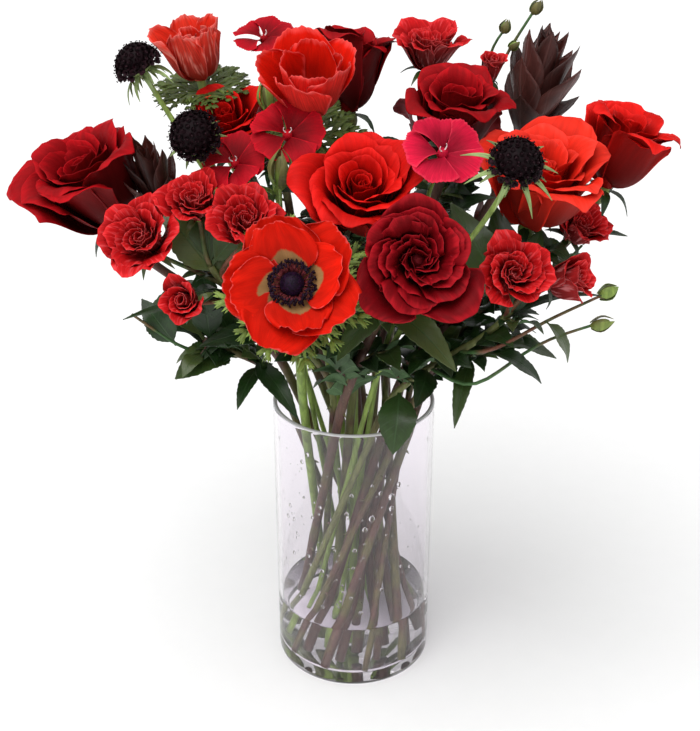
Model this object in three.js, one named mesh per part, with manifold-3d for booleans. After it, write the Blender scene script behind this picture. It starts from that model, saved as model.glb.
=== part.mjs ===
// Mixed red bouquet standing in a clear glass cylinder vase. Millimetres, +Z up.
// The origin is the centre of the vase's flat foot. The front of the bouquet faces -Y.
import * as THREE from 'three';
import { mergeVertices } from 'three/addons/utils/BufferGeometryUtils.js';
import Module from 'manifold-3d';

const wasm = await Module();
wasm.setup();
const { Manifold, Mesh: SolidMesh } = wasm;

// ---- Driving dimensions -------------------------------------------------------------
const GAP = 0.3; // clearance between neighbouring pieces
const BLADE = 0.7; // thickness of leaves and petals
const BLEND = 0.3; // detail finer than this is merged when pieces are joined
const TRIM = 0.02; // and finer than this once neighbours have given way

const VASE = { radius: 54, height: 200, wall: 2.8, base: 8, sides: 24 };
const WATER = { level: 46, inset: 0.35 };

// The stems lean together like a twisted sheaf: narrow at the waist, wide at foot and rim.
const SHEAF = { waist: 112, twist: 0.0145, rings: [0, 9.5, 18.5, 27] };

const GRID = 0.001; // corners are rounded to this
const STEM_STEPS = 6; // lengths of tube in a stem

const RADIANS = Math.PI / 180;
const UP = new THREE.Vector3(0, 0, 1);

// ---- Materials ----------------------------------------------------------------------
function finish(color, roughness, extra = {}) {
  return new THREE.MeshStandardMaterial({ color, roughness, metalness: 0, ...extra });
}

const LOOK = {
  glass: finish(0xe9e4ee, 0.03, { transparent: true, opacity: 0.25 }),
  water: finish(0xdfe4e0, 0.02, { transparent: true, opacity: 0.35 }),
  bright: finish(0xd0140f, 0.5),
  scarlet: finish(0xe02415, 0.5),
  coral: finish(0xe63a28, 0.5),
  dark: finish(0x8e0a12, 0.6),
  burgundy: finish(0x6d0512, 0.65),
  crimson: finish(0xc80f33, 0.55),
  spray: finish(0xb81a1c, 0.55),
  black: finish(0x1c060c, 0.8),
  seed: finish(0x24141c, 0.7),
  bract: finish(0x4a1a1e, 0.5),
  leaf: finish(0x2c4a1a, 0.5),
  fresh: finish(0x86964a, 0.5),
};

// ---- Solids -------------------------------------------------------------------------
function solid(geometry) {
  geometry.deleteAttribute('normal');
  geometry.deleteAttribute('uv');
  const merged = mergeVertices(geometry, 1e-4);
  return new Manifold(new SolidMesh({
    numProp: 3,
    vertProperties: new Float32Array(merged.attributes.position.array),
    triVerts: new Uint32Array(merged.index.array),
  }));
}

function join(pieces) {
  return Manifold.union(pieces.flat()).simplify(BLEND);
}

// The largest body of a solid: loose scraps and sealed hollows are left behind.
function mainBody(piece) {
  const bodies = piece.decompose();
  bodies.sort((a, b) => b.volume() - a.volume());
  return bodies[0];
}

// The same solid with its corners on a fine grid, so that close corners become one.
function rounded(piece) {
  const geometry = toGeometry(piece);
  const corners = geometry.attributes.position;
  for (let i = 0; i < corners.array.length; i++) {
    corners.array[i] = Math.round(corners.array[i] / GRID) * GRID;
  }
  return solid(geometry);
}

function toGeometry(piece) {
  const { vertProperties, triVerts } = piece.getMesh();
  const geometry = new THREE.BufferGeometry();
  geometry.setAttribute('position', new THREE.BufferAttribute(vertProperties, 3));
  geometry.setIndex(new THREE.BufferAttribute(triVerts, 1));
  return geometry;
}

// Splits the back of a box along the same diagonals as its front, so that a twisted blade
// keeps its thickness and its two sides never pass through each other.
function matchDiagonals(geometry) {
  const { index, groups } = geometry;
  const back = groups[5];
  for (let k = back.start; k < back.start + back.count; k += 6) {
    const [a, b, d, , c] = index.array.slice(k, k + 6);
    index.array.set([a, b, c, a, c, d], k);
  }
}

// A blade: a thin box bent onto surface(u, v), u from -1 to 1 across, v from 0 to 1 along.
function sheet(surface, across, along, thick = BLADE) {
  const step = 0.02;
  const geometry = new THREE.BoxGeometry(2, 1, 1, across, along, 1);
  matchDiagonals(geometry);
  const corners = geometry.attributes.position;
  for (let i = 0; i < corners.count; i++) {
    const u = corners.getX(i);
    const v = corners.getY(i) + 0.5;
    const acrossWay = surface(u + step, v).sub(surface(u - step, v));
    const alongWay = surface(u, Math.min(v + step, 1)).sub(surface(u, Math.max(v - step, 0)));
    const normal = acrossWay.cross(alongWay).normalize();
    const point = surface(u, v).addScaledVector(normal, corners.getZ(i) * thick);
    corners.setXYZ(i, point.x, point.y, point.z);
  }
  return solid(geometry);
}

// A turned solid: the profile is a list of [radius, height], first and last on the axis.
function turned(profile, sides) {
  const points = profile.map(([radius, height]) => new THREE.Vector2(radius, height));
  const lathe = new THREE.LatheGeometry(points, sides);
  lathe.rotateX(Math.PI / 2);
  return solid(lathe);
}

// A tube of a few sides swept along a curve.
function tube(path, radius, steps, sides = 5) {
  const corners = Array.from({ length: sides }, (_, i) => {
    const turn = (2 * Math.PI * i) / sides;
    return new THREE.Vector2(radius * Math.cos(turn), radius * Math.sin(turn));
  });
  const section = new THREE.Shape(corners);
  return solid(new THREE.ExtrudeGeometry(section, { steps, extrudePath: path }));
}

// A star of pointed rays, bent down towards its tips: sepals, bracts or the lobes of a ruff.
function star({ count, inner, outer, lift, droop = 0, start = 0 }) {
  const points = Array.from({ length: 2 * count }, (_, i) => {
    const turn = (Math.PI * i) / count + start * RADIANS;
    const reach = i % 2 ? inner : outer * (1 + 0.12 * Math.sin(i * 2.4));
    return new THREE.Vector2(reach * Math.cos(turn), reach * Math.sin(turn));
  });
  const plate = new THREE.ExtrudeGeometry(new THREE.Shape(points), { depth: BLADE + 0.1,
    bevelEnabled: false });
  const corners = plate.attributes.position;
  for (let i = 0; i < corners.count; i++) {
    const reach = Math.hypot(corners.getX(i), corners.getY(i));
    const bend = droop * ((reach - inner) / (outer - inner));
    corners.setZ(i, corners.getZ(i) + lift - bend);
  }
  return solid(plate);
}

function vec(list) {
  return new THREE.Vector3(...list);
}

// Stands a solid made along +Z on a point, facing along an axis and turned by roll degrees.
function stand(piece, point, axis, roll = 0) {
  const turn = new THREE.Quaternion().setFromUnitVectors(UP, axis.clone().normalize());
  turn.multiply(new THREE.Quaternion().setFromAxisAngle(UP, roll * RADIANS));
  const place = new THREE.Matrix4().compose(point, turn, new THREE.Vector3(1, 1, 1));
  return piece.transform(place.elements);
}

// ---- Petals -------------------------------------------------------------------------
// The lean of a petal at s: degrees from the flower's axis at its root, middle and tip.
function leanAt([root, middle, tip], s) {
  const rise = Math.min(1, 2 * s);
  const curl = Math.max(0, 2 * s - 1);
  return (root + (middle - root) * Math.sin(rise * Math.PI / 2) + (tip - middle) * curl ** 2) * RADIANS;
}

// One petal of a cup. It grows from a ring of radius root at height lift.
function petal({ turn, root, lift, length, width, lean, wrap = 1, skew = 0, taper = 0.2,
  cap = Infinity, across = 2, along = 3 }) {
  const round = across > 1 ? 0.05 : 0; // how much shorter a petal is at its edges
  const slices = 10;
  const surface = (u, v) => {
    const reach = v * (1 - round * u * u);
    let radius = root;
    let height = lift;
    for (let k = 0; k < slices; k++) {
      const lean_ = leanAt(lean, ((k + 0.5) / slices) * reach);
      radius += (Math.sin(lean_) * length * reach) / slices;
      height += (Math.cos(lean_) * length * reach) / slices;
    }
    const fullness = 0.14 + 0.86 * Math.sin(Math.min(1, v * 1.4) * Math.PI / 2) - taper * v ** 6;
    const bend = Math.max(radius, 2.5) * wrap;
    const swing = u * Math.min((fullness * width) / 2 / bend, cap / wrap);
    const around = turn * RADIANS;
    const facing = leanAt(lean, reach);
    const aside = skew * u;
    const middle = radius - bend + aside * Math.cos(facing);
    return new THREE.Vector3(
      middle * Math.cos(around) + bend * Math.cos(around + swing),
      middle * Math.sin(around) + bend * Math.sin(around + swing),
      height - aside * Math.sin(facing),
    );
  };
  return sheet(surface, across, along);
}

// A curved petal reaches past its even share of the whorl, so that it laps its neighbours.
// A petal that is one flat plate across stays inside its share.
const PETAL_OVERLAP = 1.2;
const PLATE_SHARE = 0.86;

// Whorls of petals round a core. Each whorl is one row of the flower's own table.
function petalWhorls(whorls, size) {
  return whorls.flatMap((whorl, index) => Array.from({ length: whorl.count }, (_, i) => petal({
    ...whorl,
    turn: (360 / whorl.count) * i + (whorl.start ?? index * 40),
    root: whorl.root * size,
    lift: whorl.lift * size,
    length: whorl.length * size * (1 + 0.05 * Math.sin(i * 2.4 + index)),
    width: whorl.width * size,
    cap: (Math.PI / whorl.count) * (whorl.across === 1 ? PLATE_SHARE : PETAL_OVERLAP),
    skew: (whorl.skew ?? 0) * size,
  })));
}

// Whorl tables in parts of the head's radius; lean in degrees.
const ROSE_OPEN = [
  { count: 3, root: 0.09, lift: 0.4, length: 0.62, width: 0.6, lean: [20, 2, 4], across: 1, along: 1 },
  { count: 4, root: 0.12, lift: 0.22, length: 0.98, width: 1.0, lean: [54, 10, 22], skew: 0.05,
    across: 1, along: 2 },
  { count: 5, root: 0.13, lift: 0.12, length: 1.42, width: 1.5, lean: [80, 22, 104], skew: 0.07, wrap: 1.1 },
];
const ROSE_CUP = [
  { count: 4, root: 0.12, lift: 0.22, length: 1.25, width: 1.05, lean: [54, 6, 14], skew: 0.05,
    across: 1, along: 2 },
  { count: 5, root: 0.13, lift: 0.12, length: 1.7, width: 1.5, lean: [78, 10, 84], skew: 0.07, along: 2 },
];
const ROSE_SIDE = [
  { count: 4, root: 0.12, lift: 0.22, length: 1.02, width: 1.0, lean: [54, 10, 22], skew: 0.05,
    across: 1, along: 2 },
  { count: 5, root: 0.13, lift: 0.12, length: 1.42, width: 1.5, lean: [80, 24, 96], skew: 0.07, along: 2 },
];
const ROSE_GARDEN = [
  { count: 3, root: 0.13, lift: 0.32, length: 0.5, width: 0.6, lean: [34, 8, 14], across: 1, along: 1,
    start: 15 },
  { count: 5, root: 0.15, lift: 0.22, length: 0.9, width: 1.0, lean: [62, 28, 32], skew: 0.05, across: 1,
    along: 2,
    start: 30 },
  { count: 6, root: 0.13, lift: 0.12, length: 1.26, width: 1.4, lean: [80, 44, 64], skew: 0.07, along: 2 },
];
const ROSE_SPRAY = [
  { count: 3, root: 0.12, lift: 0.3, length: 0.7, width: 0.8, lean: [40, 8, 16], across: 1, along: 1 },
  { count: 5, root: 0.13, lift: 0.12, length: 1.2, width: 1.5, lean: [78, 36, 74], skew: 0.08, across: 1,
    along: 2 },
];
const ROSE_BUD = [
  { count: 5, root: 0.13, lift: 0.12, length: 1.5, width: 1.3, lean: [66, 4, 40], skew: 0.06, across: 1,
    along: 2 },
];
const ANEMONE_OPEN = [
  { count: 4, root: 0.15, lift: 0.08, length: 0.82, width: 1.2, lean: [80, 60, 52], wrap: 1.6,
    skew: 0.04, along: 2 },
  { count: 5, root: 0.13, lift: 0.04, length: 1.04, width: 1.5, lean: [88, 68, 66], wrap: 1.4, skew: 0.05,
    along: 2, start: 36 },
];
const ANEMONE_CUP = [
  { count: 4, root: 0.17, lift: 0.08, length: 1.15, width: 1.2, lean: [76, 22, 20], skew: 0.04,
    across: 1, along: 2 },
  { count: 5, root: 0.15, lift: 0.04, length: 1.35, width: 1.6, lean: [86, 28, 40], skew: 0.05, along: 2,
    start: 36 },
];
const ANEMONE_SHUT = [
  { count: 5, root: 0.18, lift: 0.08, length: 1.9, width: 1.6, lean: [84, 10, 24], skew: 0.06, along: 2,
    start: 36 },
];

// A head of petals on a small solid heart, made along +Z with its foot at the origin.
// The heart has as many flat sides as the outer whorl has petals, one behind each root.
function petalHead(whorls, size, heart) {
  const outer = whorls[whorls.length - 1];
  const start = outer.start ?? (whorls.length - 1) * 40;
  const flat = 1 / Math.cos(Math.PI / outer.count);
  const rows = [[0, 0], [0.17 * flat, 0], [0.17 * flat, 0.3], [heart.girth, heart.height * 0.7], [0,
    heart.height]];
  const core = turned(rows.map(([radius, height]) => [radius * size, height * size]), outer.count);
  return join([core.rotate([0, 0, start + 180 / outer.count]), petalWhorls(whorls, size)]);
}

const ROSE_KINDS = {
  open: { whorls: ROSE_OPEN, heart: { girth: 0.12, height: 0.9 } },
  side: { whorls: ROSE_SIDE, heart: { girth: 0.14, height: 0.95 } },
  cup: { whorls: ROSE_CUP, heart: { girth: 0.14, height: 1.1 } },
  garden: { whorls: ROSE_GARDEN, heart: { girth: 0.15, height: 0.6 } },
  spray: { whorls: ROSE_SPRAY, heart: { girth: 0.16, height: 0.75 } },
  bud: { whorls: ROSE_BUD, heart: { girth: 0.3, height: 1.1 } },
};

// ---- Stems and leaves ---------------------------------------------------------------
// The straight run of a stem in the vase: a line of the twisted sheaf.
function sheafPoint(ring, turn, height) {
  const reach = SHEAF.rings[ring];
  const out = new THREE.Vector3(Math.cos(turn * RADIANS), Math.sin(turn * RADIANS), 0);
  const side = new THREE.Vector3(-out.y, out.x, 0);
  const point = out.multiplyScalar(reach).addScaledVector(side, reach * SHEAF.twist * (height - SHEAF.waist));
  return point.setZ(height);
}

// The whole run of a stem: straight from the foot to just above the rim, then a bend.
// The straight run takes one step of the tube, and the bend the others.
class StemRun extends THREE.Curve {
  constructor(straight, bend) {
    super();
    this.straight = straight;
    this.bend = bend;
  }

  getPoint(t) {
    const split = 1 / STEM_STEPS;
    return t < split ? this.straight.getPoint(t / split) : this.bend.getPoint((t - split) / (1 - split));
  }

  getPointAt(t) {
    return this.getPoint(t);
  }

  getTangentAt(t) {
    return this.getTangent(t);
  }
}

function stemPath({ ring, turn, radius, base, axis }) {
  const foot = sheafPoint(ring, turn, VASE.base + GAP + 0.5 * radius);
  const mouth = sheafPoint(ring, turn, VASE.height + 8);
  const along = mouth.clone().sub(foot).normalize();
  const span = base.distanceTo(mouth);
  return new StemRun(new THREE.LineCurve3(foot, mouth), new THREE.CubicBezierCurve3(
    mouth,
    mouth.clone().addScaledVector(along, span * 0.4),
    base.clone().addScaledVector(axis, -span * 0.35),
    base,
  ));
}

// A leaf from its root to its tip: folded a little along the midrib and arched upwards.
function leaf({ from, to, width, arch = 0.12, fold = 0.18, face = [0, 0, 1], along = 3, across = 2,
  tooth = 0 }) {
  const way = to.clone().sub(from);
  const length = way.length();
  way.normalize();
  const side = new THREE.Vector3().crossVectors(way, vec(face)).normalize();
  const above = new THREE.Vector3().crossVectors(side, way).normalize();
  const surface = (u, v) => {
    const outline = 0.1 + 0.9 * Math.sin(Math.PI * v ** 0.8) ** 0.8 * (v < 1 ? 1 : 0);
    const edge = 1 + tooth * Math.cos(v * Math.PI * 8) * u * u;
    const half = (width / 2) * outline * edge;
    return from.clone()
      .addScaledVector(way, v * length)
      .addScaledVector(side, u * half)
      .addScaledVector(above, length * arch * Math.sin(Math.PI * v) + Math.abs(u) * half * fold);
  };
  return sheet(surface, across, along);
}

// A leaf of a stem. It starts at a share of the stem's bend or at a point of a twig, and ends
// at a point, or at a length along a compass turn and a rise in degrees.
function stemLeaf(path, { at, from, to, turn, rise, length, ...rest }) {
  const root = from ? vec(from) : path.bend.getPoint(at);
  if (to) return leaf({ from: root, to: vec(to), ...rest });
  const way = new THREE.Vector3(
    Math.cos(turn * RADIANS) * Math.cos(rise * RADIANS),
    Math.sin(turn * RADIANS) * Math.cos(rise * RADIANS),
    Math.sin(rise * RADIANS),
  );
  return leaf({ from: root, to: root.clone().addScaledVector(way, length), ...rest });
}

// ---- The parts of the bouquet -------------------------------------------------------
const parts = []; // { name, piece, material }
const stems = []; // { ring, turn, radius, sides }, for the holes in the water

function add(name, piece, material) {
  parts.push({ name, piece, material });
}

// The stem of a head: the path ends at the head's foot, along its axis.
function headStem({ slot, radius, base, axis, drop, sides = 5 }) {
  const end = base.clone().addScaledVector(axis, -drop);
  const path = stemPath({ ring: slot[0], turn: slot[1], radius, base: end, axis });
  stems.push({ ring: slot[0], turn: slot[1], radius, sides });
  return path;
}

// A large rose. at is the middle of the head, width its full width.
function rose({ name, at, width, axis, kind, roll = 0, slot, material, leaves = [], stem = 3.2 }) {
  const size = width / 2;
  const way = vec(axis).normalize();
  const base = vec(at).addScaledVector(way, -0.62 * size);
  const { whorls, heart } = ROSE_KINDS[kind];
  add(`${name}_petals`, stand(petalHead(whorls, size, heart), base, way, roll), material);

  const hip = turned([[0, -12], [5.4, -6], [4.6, -GAP], [0, -GAP]], 5);
  const sepals = star({ count: 5, inner: 7, outer: 22, lift: -3.5, droop: 8, start: 20 });
  const path = headStem({ slot, radius: stem, base, axis: way, drop: 9 });
  const green = [stand(join([hip, sepals]), base, way, roll), tube(path, stem, STEM_STEPS)];
  leaves.forEach((row) => green.push(stemLeaf(path, row)));
  add(`${name}_stem`, join(green), LOOK.leaf);
}

// An anemone: petals, dark centre, and a stem with its ruff of cut leaves.
function anemone({ name, at, width, axis, whorls, roll = 0, slot, material, ruff, heart = 0.35,
  open = false, shut = false }) {
  const size = width / 2;
  const way = vec(axis).normalize();
  const base = vec(at).addScaledVector(way, -heart * size);
  const seat = turned([[0, 0], [0.2, 0], [0.2, 0.1], [0, 0.1]].map(([r, h]) => [r * size, h * size]), 6);
  add(`${name}_petals`, stand(join([seat, petalWhorls(whorls, size)]), base, way, roll), material);

  const floor = 0.1 * size + GAP;
  const dome = turned([[0, floor], [0.1 * size, floor], [0.16 * size, floor + 0.12 * size],
    [0.12 * size, floor + 0.24 * size], [0, floor + 0.28 * size]], 7);
  const threads = star({ count: 11, inner: 0.22 * size, outer: 0.36 * size, lift: floor + 0.13 * size,
    droop: -0.1 * size, start: 4 });
  if (!shut) add(`${name}_centre`, stand(join(open ? [dome, threads] : [dome]), base, way, roll), LOOK.seed);

  const path = headStem({ slot, radius: 3, base, axis: way, drop: GAP });
  const green = [tube(path, 3, STEM_STEPS)];
  const neck = base.clone().addScaledVector(way, -ruff.drop);
  green.push(stand(star({ count: ruff.count, inner: ruff.length * 0.3, outer: ruff.length, lift: 0,
    droop: ruff.droop }), neck, way, roll));
  add(`${name}_stem`, join(green), LOOK.fresh);
}

// A scabiosa head: a dome set all over with small pointed florets, on long narrow bracts.
function scabiosa({ name, at, width, axis, slot, florets = 24, droop = 4, reach = 24 }) {
  const size = width / 2;
  const way = vec(axis).normalize();
  const base = vec(at).addScaledVector(way, -0.4 * size);
  const dome = turned([[0, 0], [size * 0.62, 0], [size * 0.86, size * 0.3], [size * 0.72, size * 0.74],
    [0, size * 1.04]], 7);
  const golden = 137.508;
  const spikes = Array.from({ length: florets }, (_, i) => {
    const tilt = Math.acos(1 - (1.12 * (i + 0.5)) / florets);
    const cone = new THREE.ConeGeometry(size * 0.15, size * 0.5, 3);
    cone.translate(0, size * 0.85, 0);
    cone.rotateX(Math.PI / 2);
    const out = new THREE.Vector3().setFromSphericalCoords(1, tilt, i * golden * RADIANS);
    return stand(solid(cone), new THREE.Vector3(0, 0, size * 0.16), new THREE.Vector3(out.z, out.x, out.y));
  });
  add(`${name}_head`, stand(join([dome, spikes]), base, way), LOOK.black);

  const path = headStem({ slot, radius: 1.8, base, axis: way, drop: GAP, sides: 4 });
  const cup = turned([[0, -5], [2.4, -4.6], [size * 0.5, -GAP - 0.6], [size * 0.5, -GAP], [0, -GAP]], 6);
  const fringe = star({ count: 9, inner: 5, outer: reach, lift: -3, droop });
  add(`${name}_stem`, join([stand(join([cup, fringe]), base, way), tube(path, 1.8, STEM_STEPS, 4)]),
    LOOK.fresh);
}

// A branched stem: one main stem and a twig to the foot of each small head it carries.
function branched({ name, slot, radius, fork, axis, heads, leaves = [], twigs = [], material = LOOK.leaf }) {
  const way = vec(axis).normalize();
  const path = stemPath({ ring: slot[0], turn: slot[1], radius, base: vec(fork), axis: way });
  stems.push({ ring: slot[0], turn: slot[1], radius, sides: 4 });
  const green = [tube(path, radius, STEM_STEPS, 4)];
  heads.forEach(({ base, axis: headWay, hip, start = 0.9, thick = 1.3 }) => {
    const from = path.bend.getPoint(start);
    const span = from.distanceTo(base);
    const twig = new THREE.CubicBezierCurve3(
      from,
      from.clone().addScaledVector(path.bend.getTangent(start), span * 0.35),
      base.clone().addScaledVector(headWay, -span * 0.35),
      base.clone().addScaledVector(headWay, -1),
    );
    green.push(tube(twig, thick, 3, 4));
    if (hip) green.push(stand(hip, base, headWay));
  });
  twigs.forEach(({ start, points, thick = 1.1, steps = 3 }) => {
    const curve = new THREE.CatmullRomCurve3([path.bend.getPoint(start), ...points.map(vec)]);
    green.push(tube(curve, thick, steps, 4));
  });
  leaves.forEach((row) => green.push(stemLeaf(path, row)));
  add(`${name}_stem`, join(green), material);
}

// A small rose of a spray. Returns what its twig needs.
function sprayRose({ name, at, width, axis, kind = 'spray', roll = 0, material = LOOK.spray, start }) {
  const size = width / 2;
  const way = vec(axis).normalize();
  const base = vec(at).addScaledVector(way, -0.55 * size);
  const { whorls, heart } = ROSE_KINDS[kind];
  add(`${name}_petals`, stand(petalHead(whorls, size, heart), base, way, roll), material);
  const hip = star({ count: 5, inner: size * 0.2, outer: size * 0.75, lift: -BLADE - 0.1 - GAP, droop: 3 });
  return { base, axis: way, hip, start };
}

// The face of a dianthus: five petals with toothed ends, raised a little towards their rims.
function dianthusFace(size) {
  const petals = 5;
  const ends = [0.86, 0.98, 0.9, 1.02, 0.9, 0.98, 0.86]; // reach of the points of one petal's end
  const share = (2 * Math.PI) / petals;
  const points = Array.from({ length: petals }, (_, petalIndex) => [
    [0.22, -0.5],
    ...ends.map((reach, k) => [reach, (k / (ends.length - 1) - 0.5) * 0.9]),
  ].map(([reach, part]) => {
    const turn = (petalIndex + part) * share;
    return new THREE.Vector2(reach * size * Math.cos(turn), reach * size * Math.sin(turn));
  })).flat();
  const plate = new THREE.ExtrudeGeometry(new THREE.Shape(points), { depth: BLADE + 0.2,
    bevelEnabled: false });
  const corners = plate.attributes.position;
  for (let i = 0; i < corners.count; i++) {
    const reach = Math.hypot(corners.getX(i), corners.getY(i)) / size;
    corners.setZ(i, corners.getZ(i) + 0.16 * size * reach);
  }
  return solid(plate);
}

// A dianthus flower: five toothed petals on a slim tube, which belongs to the green node.
function dianthusFlower({ at, width, axis, roll = 0, start, thick }) {
  const size = width / 2;
  const way = vec(axis).normalize();
  const base = vec(at);
  const heart = turned([[0, 0], [size * 0.16, 0], [size * 0.12, size * 0.2], [0, size * 0.26]], 5);
  const petals = stand(join([heart, dianthusFace(size)]), base, way, roll);
  const calyx = turned([[0, -16], [2, -15], [2.7, -8], [2.3, -GAP], [0, -GAP]], 5);
  return { petals, green: { base, axis: way, hip: calyx, start, thick } };
}

// A leucadendron shoot: pointed bracts in rising whorls on a stem of the same colour.
function leucadendron({ name, at, width, height, axis, slot, roll = 0 }) {
  const way = vec(axis).normalize();
  const base = vec(at).addScaledVector(way, -0.5 * height);
  const path = headStem({ slot, radius: 3, base, axis: way, drop: -6 });
  const rows = [
    { count: 4, lift: -6, length: 0.66, lean: [70, 30, 36] },
    { count: 4, lift: 4, length: 0.84, lean: [44, 12, 14] },
  ];
  const blades = rows.flatMap(({ count, lift, length, lean }, row) => Array.from({ length: count }, (_,
    i) => petal({
    turn: (360 / count) * i + row * 45, root: 1.5, lift, taper: 0.6, length: length * height,
      width: width * 0.42, lean,
    wrap: 1.2, cap: (Math.PI / count) * PLATE_SHARE, along: 2,
  })));
  const heart = turned([[0, -8], [3, -8], [4.5, 6], [3, height * 0.35], [0, height * 0.45]], 6);
  add(name, join([stand(join([heart, blades]), base, way, roll), tube(path, 3, STEM_STEPS)]), LOOK.bract);
}

// ---- Vase and water -----------------------------------------------------------------
function vase() {
  const { radius, height, wall, base, sides } = VASE;
  const inner = radius - wall;
  return turned([
    [0, 0], [radius - 2, 0], [radius, 2], [radius, height - 0.8], [radius - 0.8, height],
    [inner + 0.8, height], [inner, height - 0.8], [inner, base + 2], [inner - 2, base], [0, base],
  ], sides);
}

// The water fills the foot of the vase and leaves a plain hole for every stem.
function water() {
  const radius = VASE.radius - VASE.wall - WATER.inset;
  const bottom = VASE.base + WATER.inset;
  const body = turned([[0, bottom], [radius - 2.2, bottom], [radius, bottom + 2.2],
    [radius, WATER.level], [0, WATER.level]], VASE.sides);
  const holes = stems.map(({ ring, turn, radius: thick, sides }) => {
    const run = new THREE.LineCurve3(sheafPoint(ring, turn, -10), sheafPoint(ring, turn, WATER.level + 20));
    return tube(run, thick + (GAP + 0.05) / Math.cos(Math.PI / sides), 1, sides);
  });
  return mainBody(body.subtract(Manifold.union(holes)).simplify(TRIM));
}

// ---- The bouquet --------------------------------------------------------------------
rose({ name: 'rose_front', at: [34, -114, 342], width: 68, axis: [0.05, -0.88, 0.46], kind: 'garden',
  slot: [3, -156], material: LOOK.burgundy, roll: 10,
  leaves: [
    { at: 0.6, to: [58, -100, 268], width: 20, face: [0, -0.6, 1] },
    { at: 0.66, to: [-10, -104, 276], width: 18, face: [0, -0.6, 1] },
  ] });
rose({ name: 'rose_centre', at: [2, -66, 374], width: 74, axis: [0, -0.62, 0.78], kind: 'open', roll: 20,
  slot: [1, -148], material: LOOK.bright,
  leaves: [{ at: 0.38, turn: 180, rise: 20, length: 38, width: 20 }] });
rose({ name: 'rose_far_left', at: [-165, -15, 353], width: 86, axis: [-0.62, -0.42, 0.66], kind: 'open',
  slot: [3, 106], material: LOOK.dark, roll: 40,
  leaves: [
    { at: 0.51, turn: 215, rise: -5, length: 46, width: 22 },
    { at: 0.24, turn: 160, rise: 10, length: 44, width: 22 },
  ] });
rose({ name: 'rose_upper_right', at: [60, -2, 402], width: 68, axis: [0.12, -0.45, 0.88], kind: 'open',
  roll: 60,
  slot: [1, -28], material: LOOK.dark,
  leaves: [{ at: 0.42, turn: 20, rise: 20, length: 38, width: 20 }] });
rose({ name: 'rose_right', at: [110, -45, 367], width: 74, axis: [0.12, -0.66, 0.74], kind: 'open', roll: 5,
  slot: [2, -89], material: LOOK.coral,
  leaves: [{ at: 0.38, turn: -15, rise: 5, length: 42, width: 22 }] });
rose({ name: 'rose_far_right', at: [166, 0, 372], width: 62, axis: [0.5, -0.1, 0.86], kind: 'cup', roll: 30,
  slot: [3, -58], material: LOOK.bright,
  leaves: [
    { at: 0.6, turn: 40, rise: 15, length: 36, width: 18 },
    { at: 0.33, turn: -10, rise: 5, length: 42, width: 22 },
  ] });
rose({ name: 'rose_top', at: [-4, 52, 412], width: 68, axis: [0, 0.12, 0.99], kind: 'cup', roll: 15,
  slot: [2, 31], material: LOOK.dark,
  leaves: [{ at: 0.38, turn: 100, rise: 25, length: 40, width: 20 }] });
rose({ name: 'rose_upper_left', at: [-77, 12, 382], width: 58, axis: [-0.2, -0.45, 0.87], kind: 'side',
  roll: 50,
  slot: [1, 32], material: LOOK.bright,
  leaves: [{ at: 0.42, turn: 150, rise: 15, length: 38, width: 20 }] });
rose({ name: 'rose_back_left', at: [-62, 98, 356], width: 70, axis: [-0.35, 0.7, 0.62], kind: 'side',
  roll: 25,
  slot: [3, 73], material: LOOK.bright,
  leaves: [
    { at: 0.47, turn: 120, rise: 0, length: 44, width: 22 },
    { at: 0.2, turn: 80, rise: 10, length: 40, width: 20 },
  ] });
rose({ name: 'rose_back_right', at: [62, 100, 352], width: 72, axis: [0.35, 0.72, 0.6], kind: 'side', roll: 0,
  slot: [3, 8], material: LOOK.burgundy,
  leaves: [
    { at: 0.47, turn: 60, rise: 0, length: 44, width: 22 },
    { at: 0.2, turn: 10, rise: 10, length: 40, width: 20 },
  ] });

anemone({ name: 'anemone_front', at: [-33, -135, 337], width: 68, axis: [-0.05, -0.82, 0.57],
  whorls: ANEMONE_OPEN, slot: [3, 172], material: LOOK.scarlet, open: true,
  ruff: { drop: 18, count: 11, length: 34, droop: 8 } });
anemone({ name: 'anemone_top', at: [-25, -22, 418], width: 60, axis: [0, -0.42, 0.91], whorls: ANEMONE_CUP,
  slot: [0, 0], material: LOOK.scarlet, heart: 0.5,
  ruff: { drop: 28, count: 8, length: 16, droop: -4 } });
anemone({ name: 'anemone_left', at: [-100, 28, 424], width: 42, axis: [-0.12, -0.2, 0.97],
  whorls: ANEMONE_SHUT,
  slot: [1, 92], material: LOOK.coral, heart: 0.75, shut: true,
  ruff: { drop: 20, count: 10, length: 28, droop: -6 } });

scabiosa({ name: 'scabiosa_far_left', at: [-129, 0, 423], width: 29, axis: [-0.45, -0.1, 0.88],
  slot: [2, 111], droop: 12, reach: 17 });
scabiosa({ name: 'scabiosa_left', at: [-91, -45, 391], width: 30, axis: [-0.05, -0.85, 0.52],
  slot: [2, 151], reach: 18 });
scabiosa({ name: 'scabiosa_right', at: [84, -112, 396], width: 29, axis: [0.1, -0.6, 0.79],
  slot: [2, -129], reach: 28 });

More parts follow.
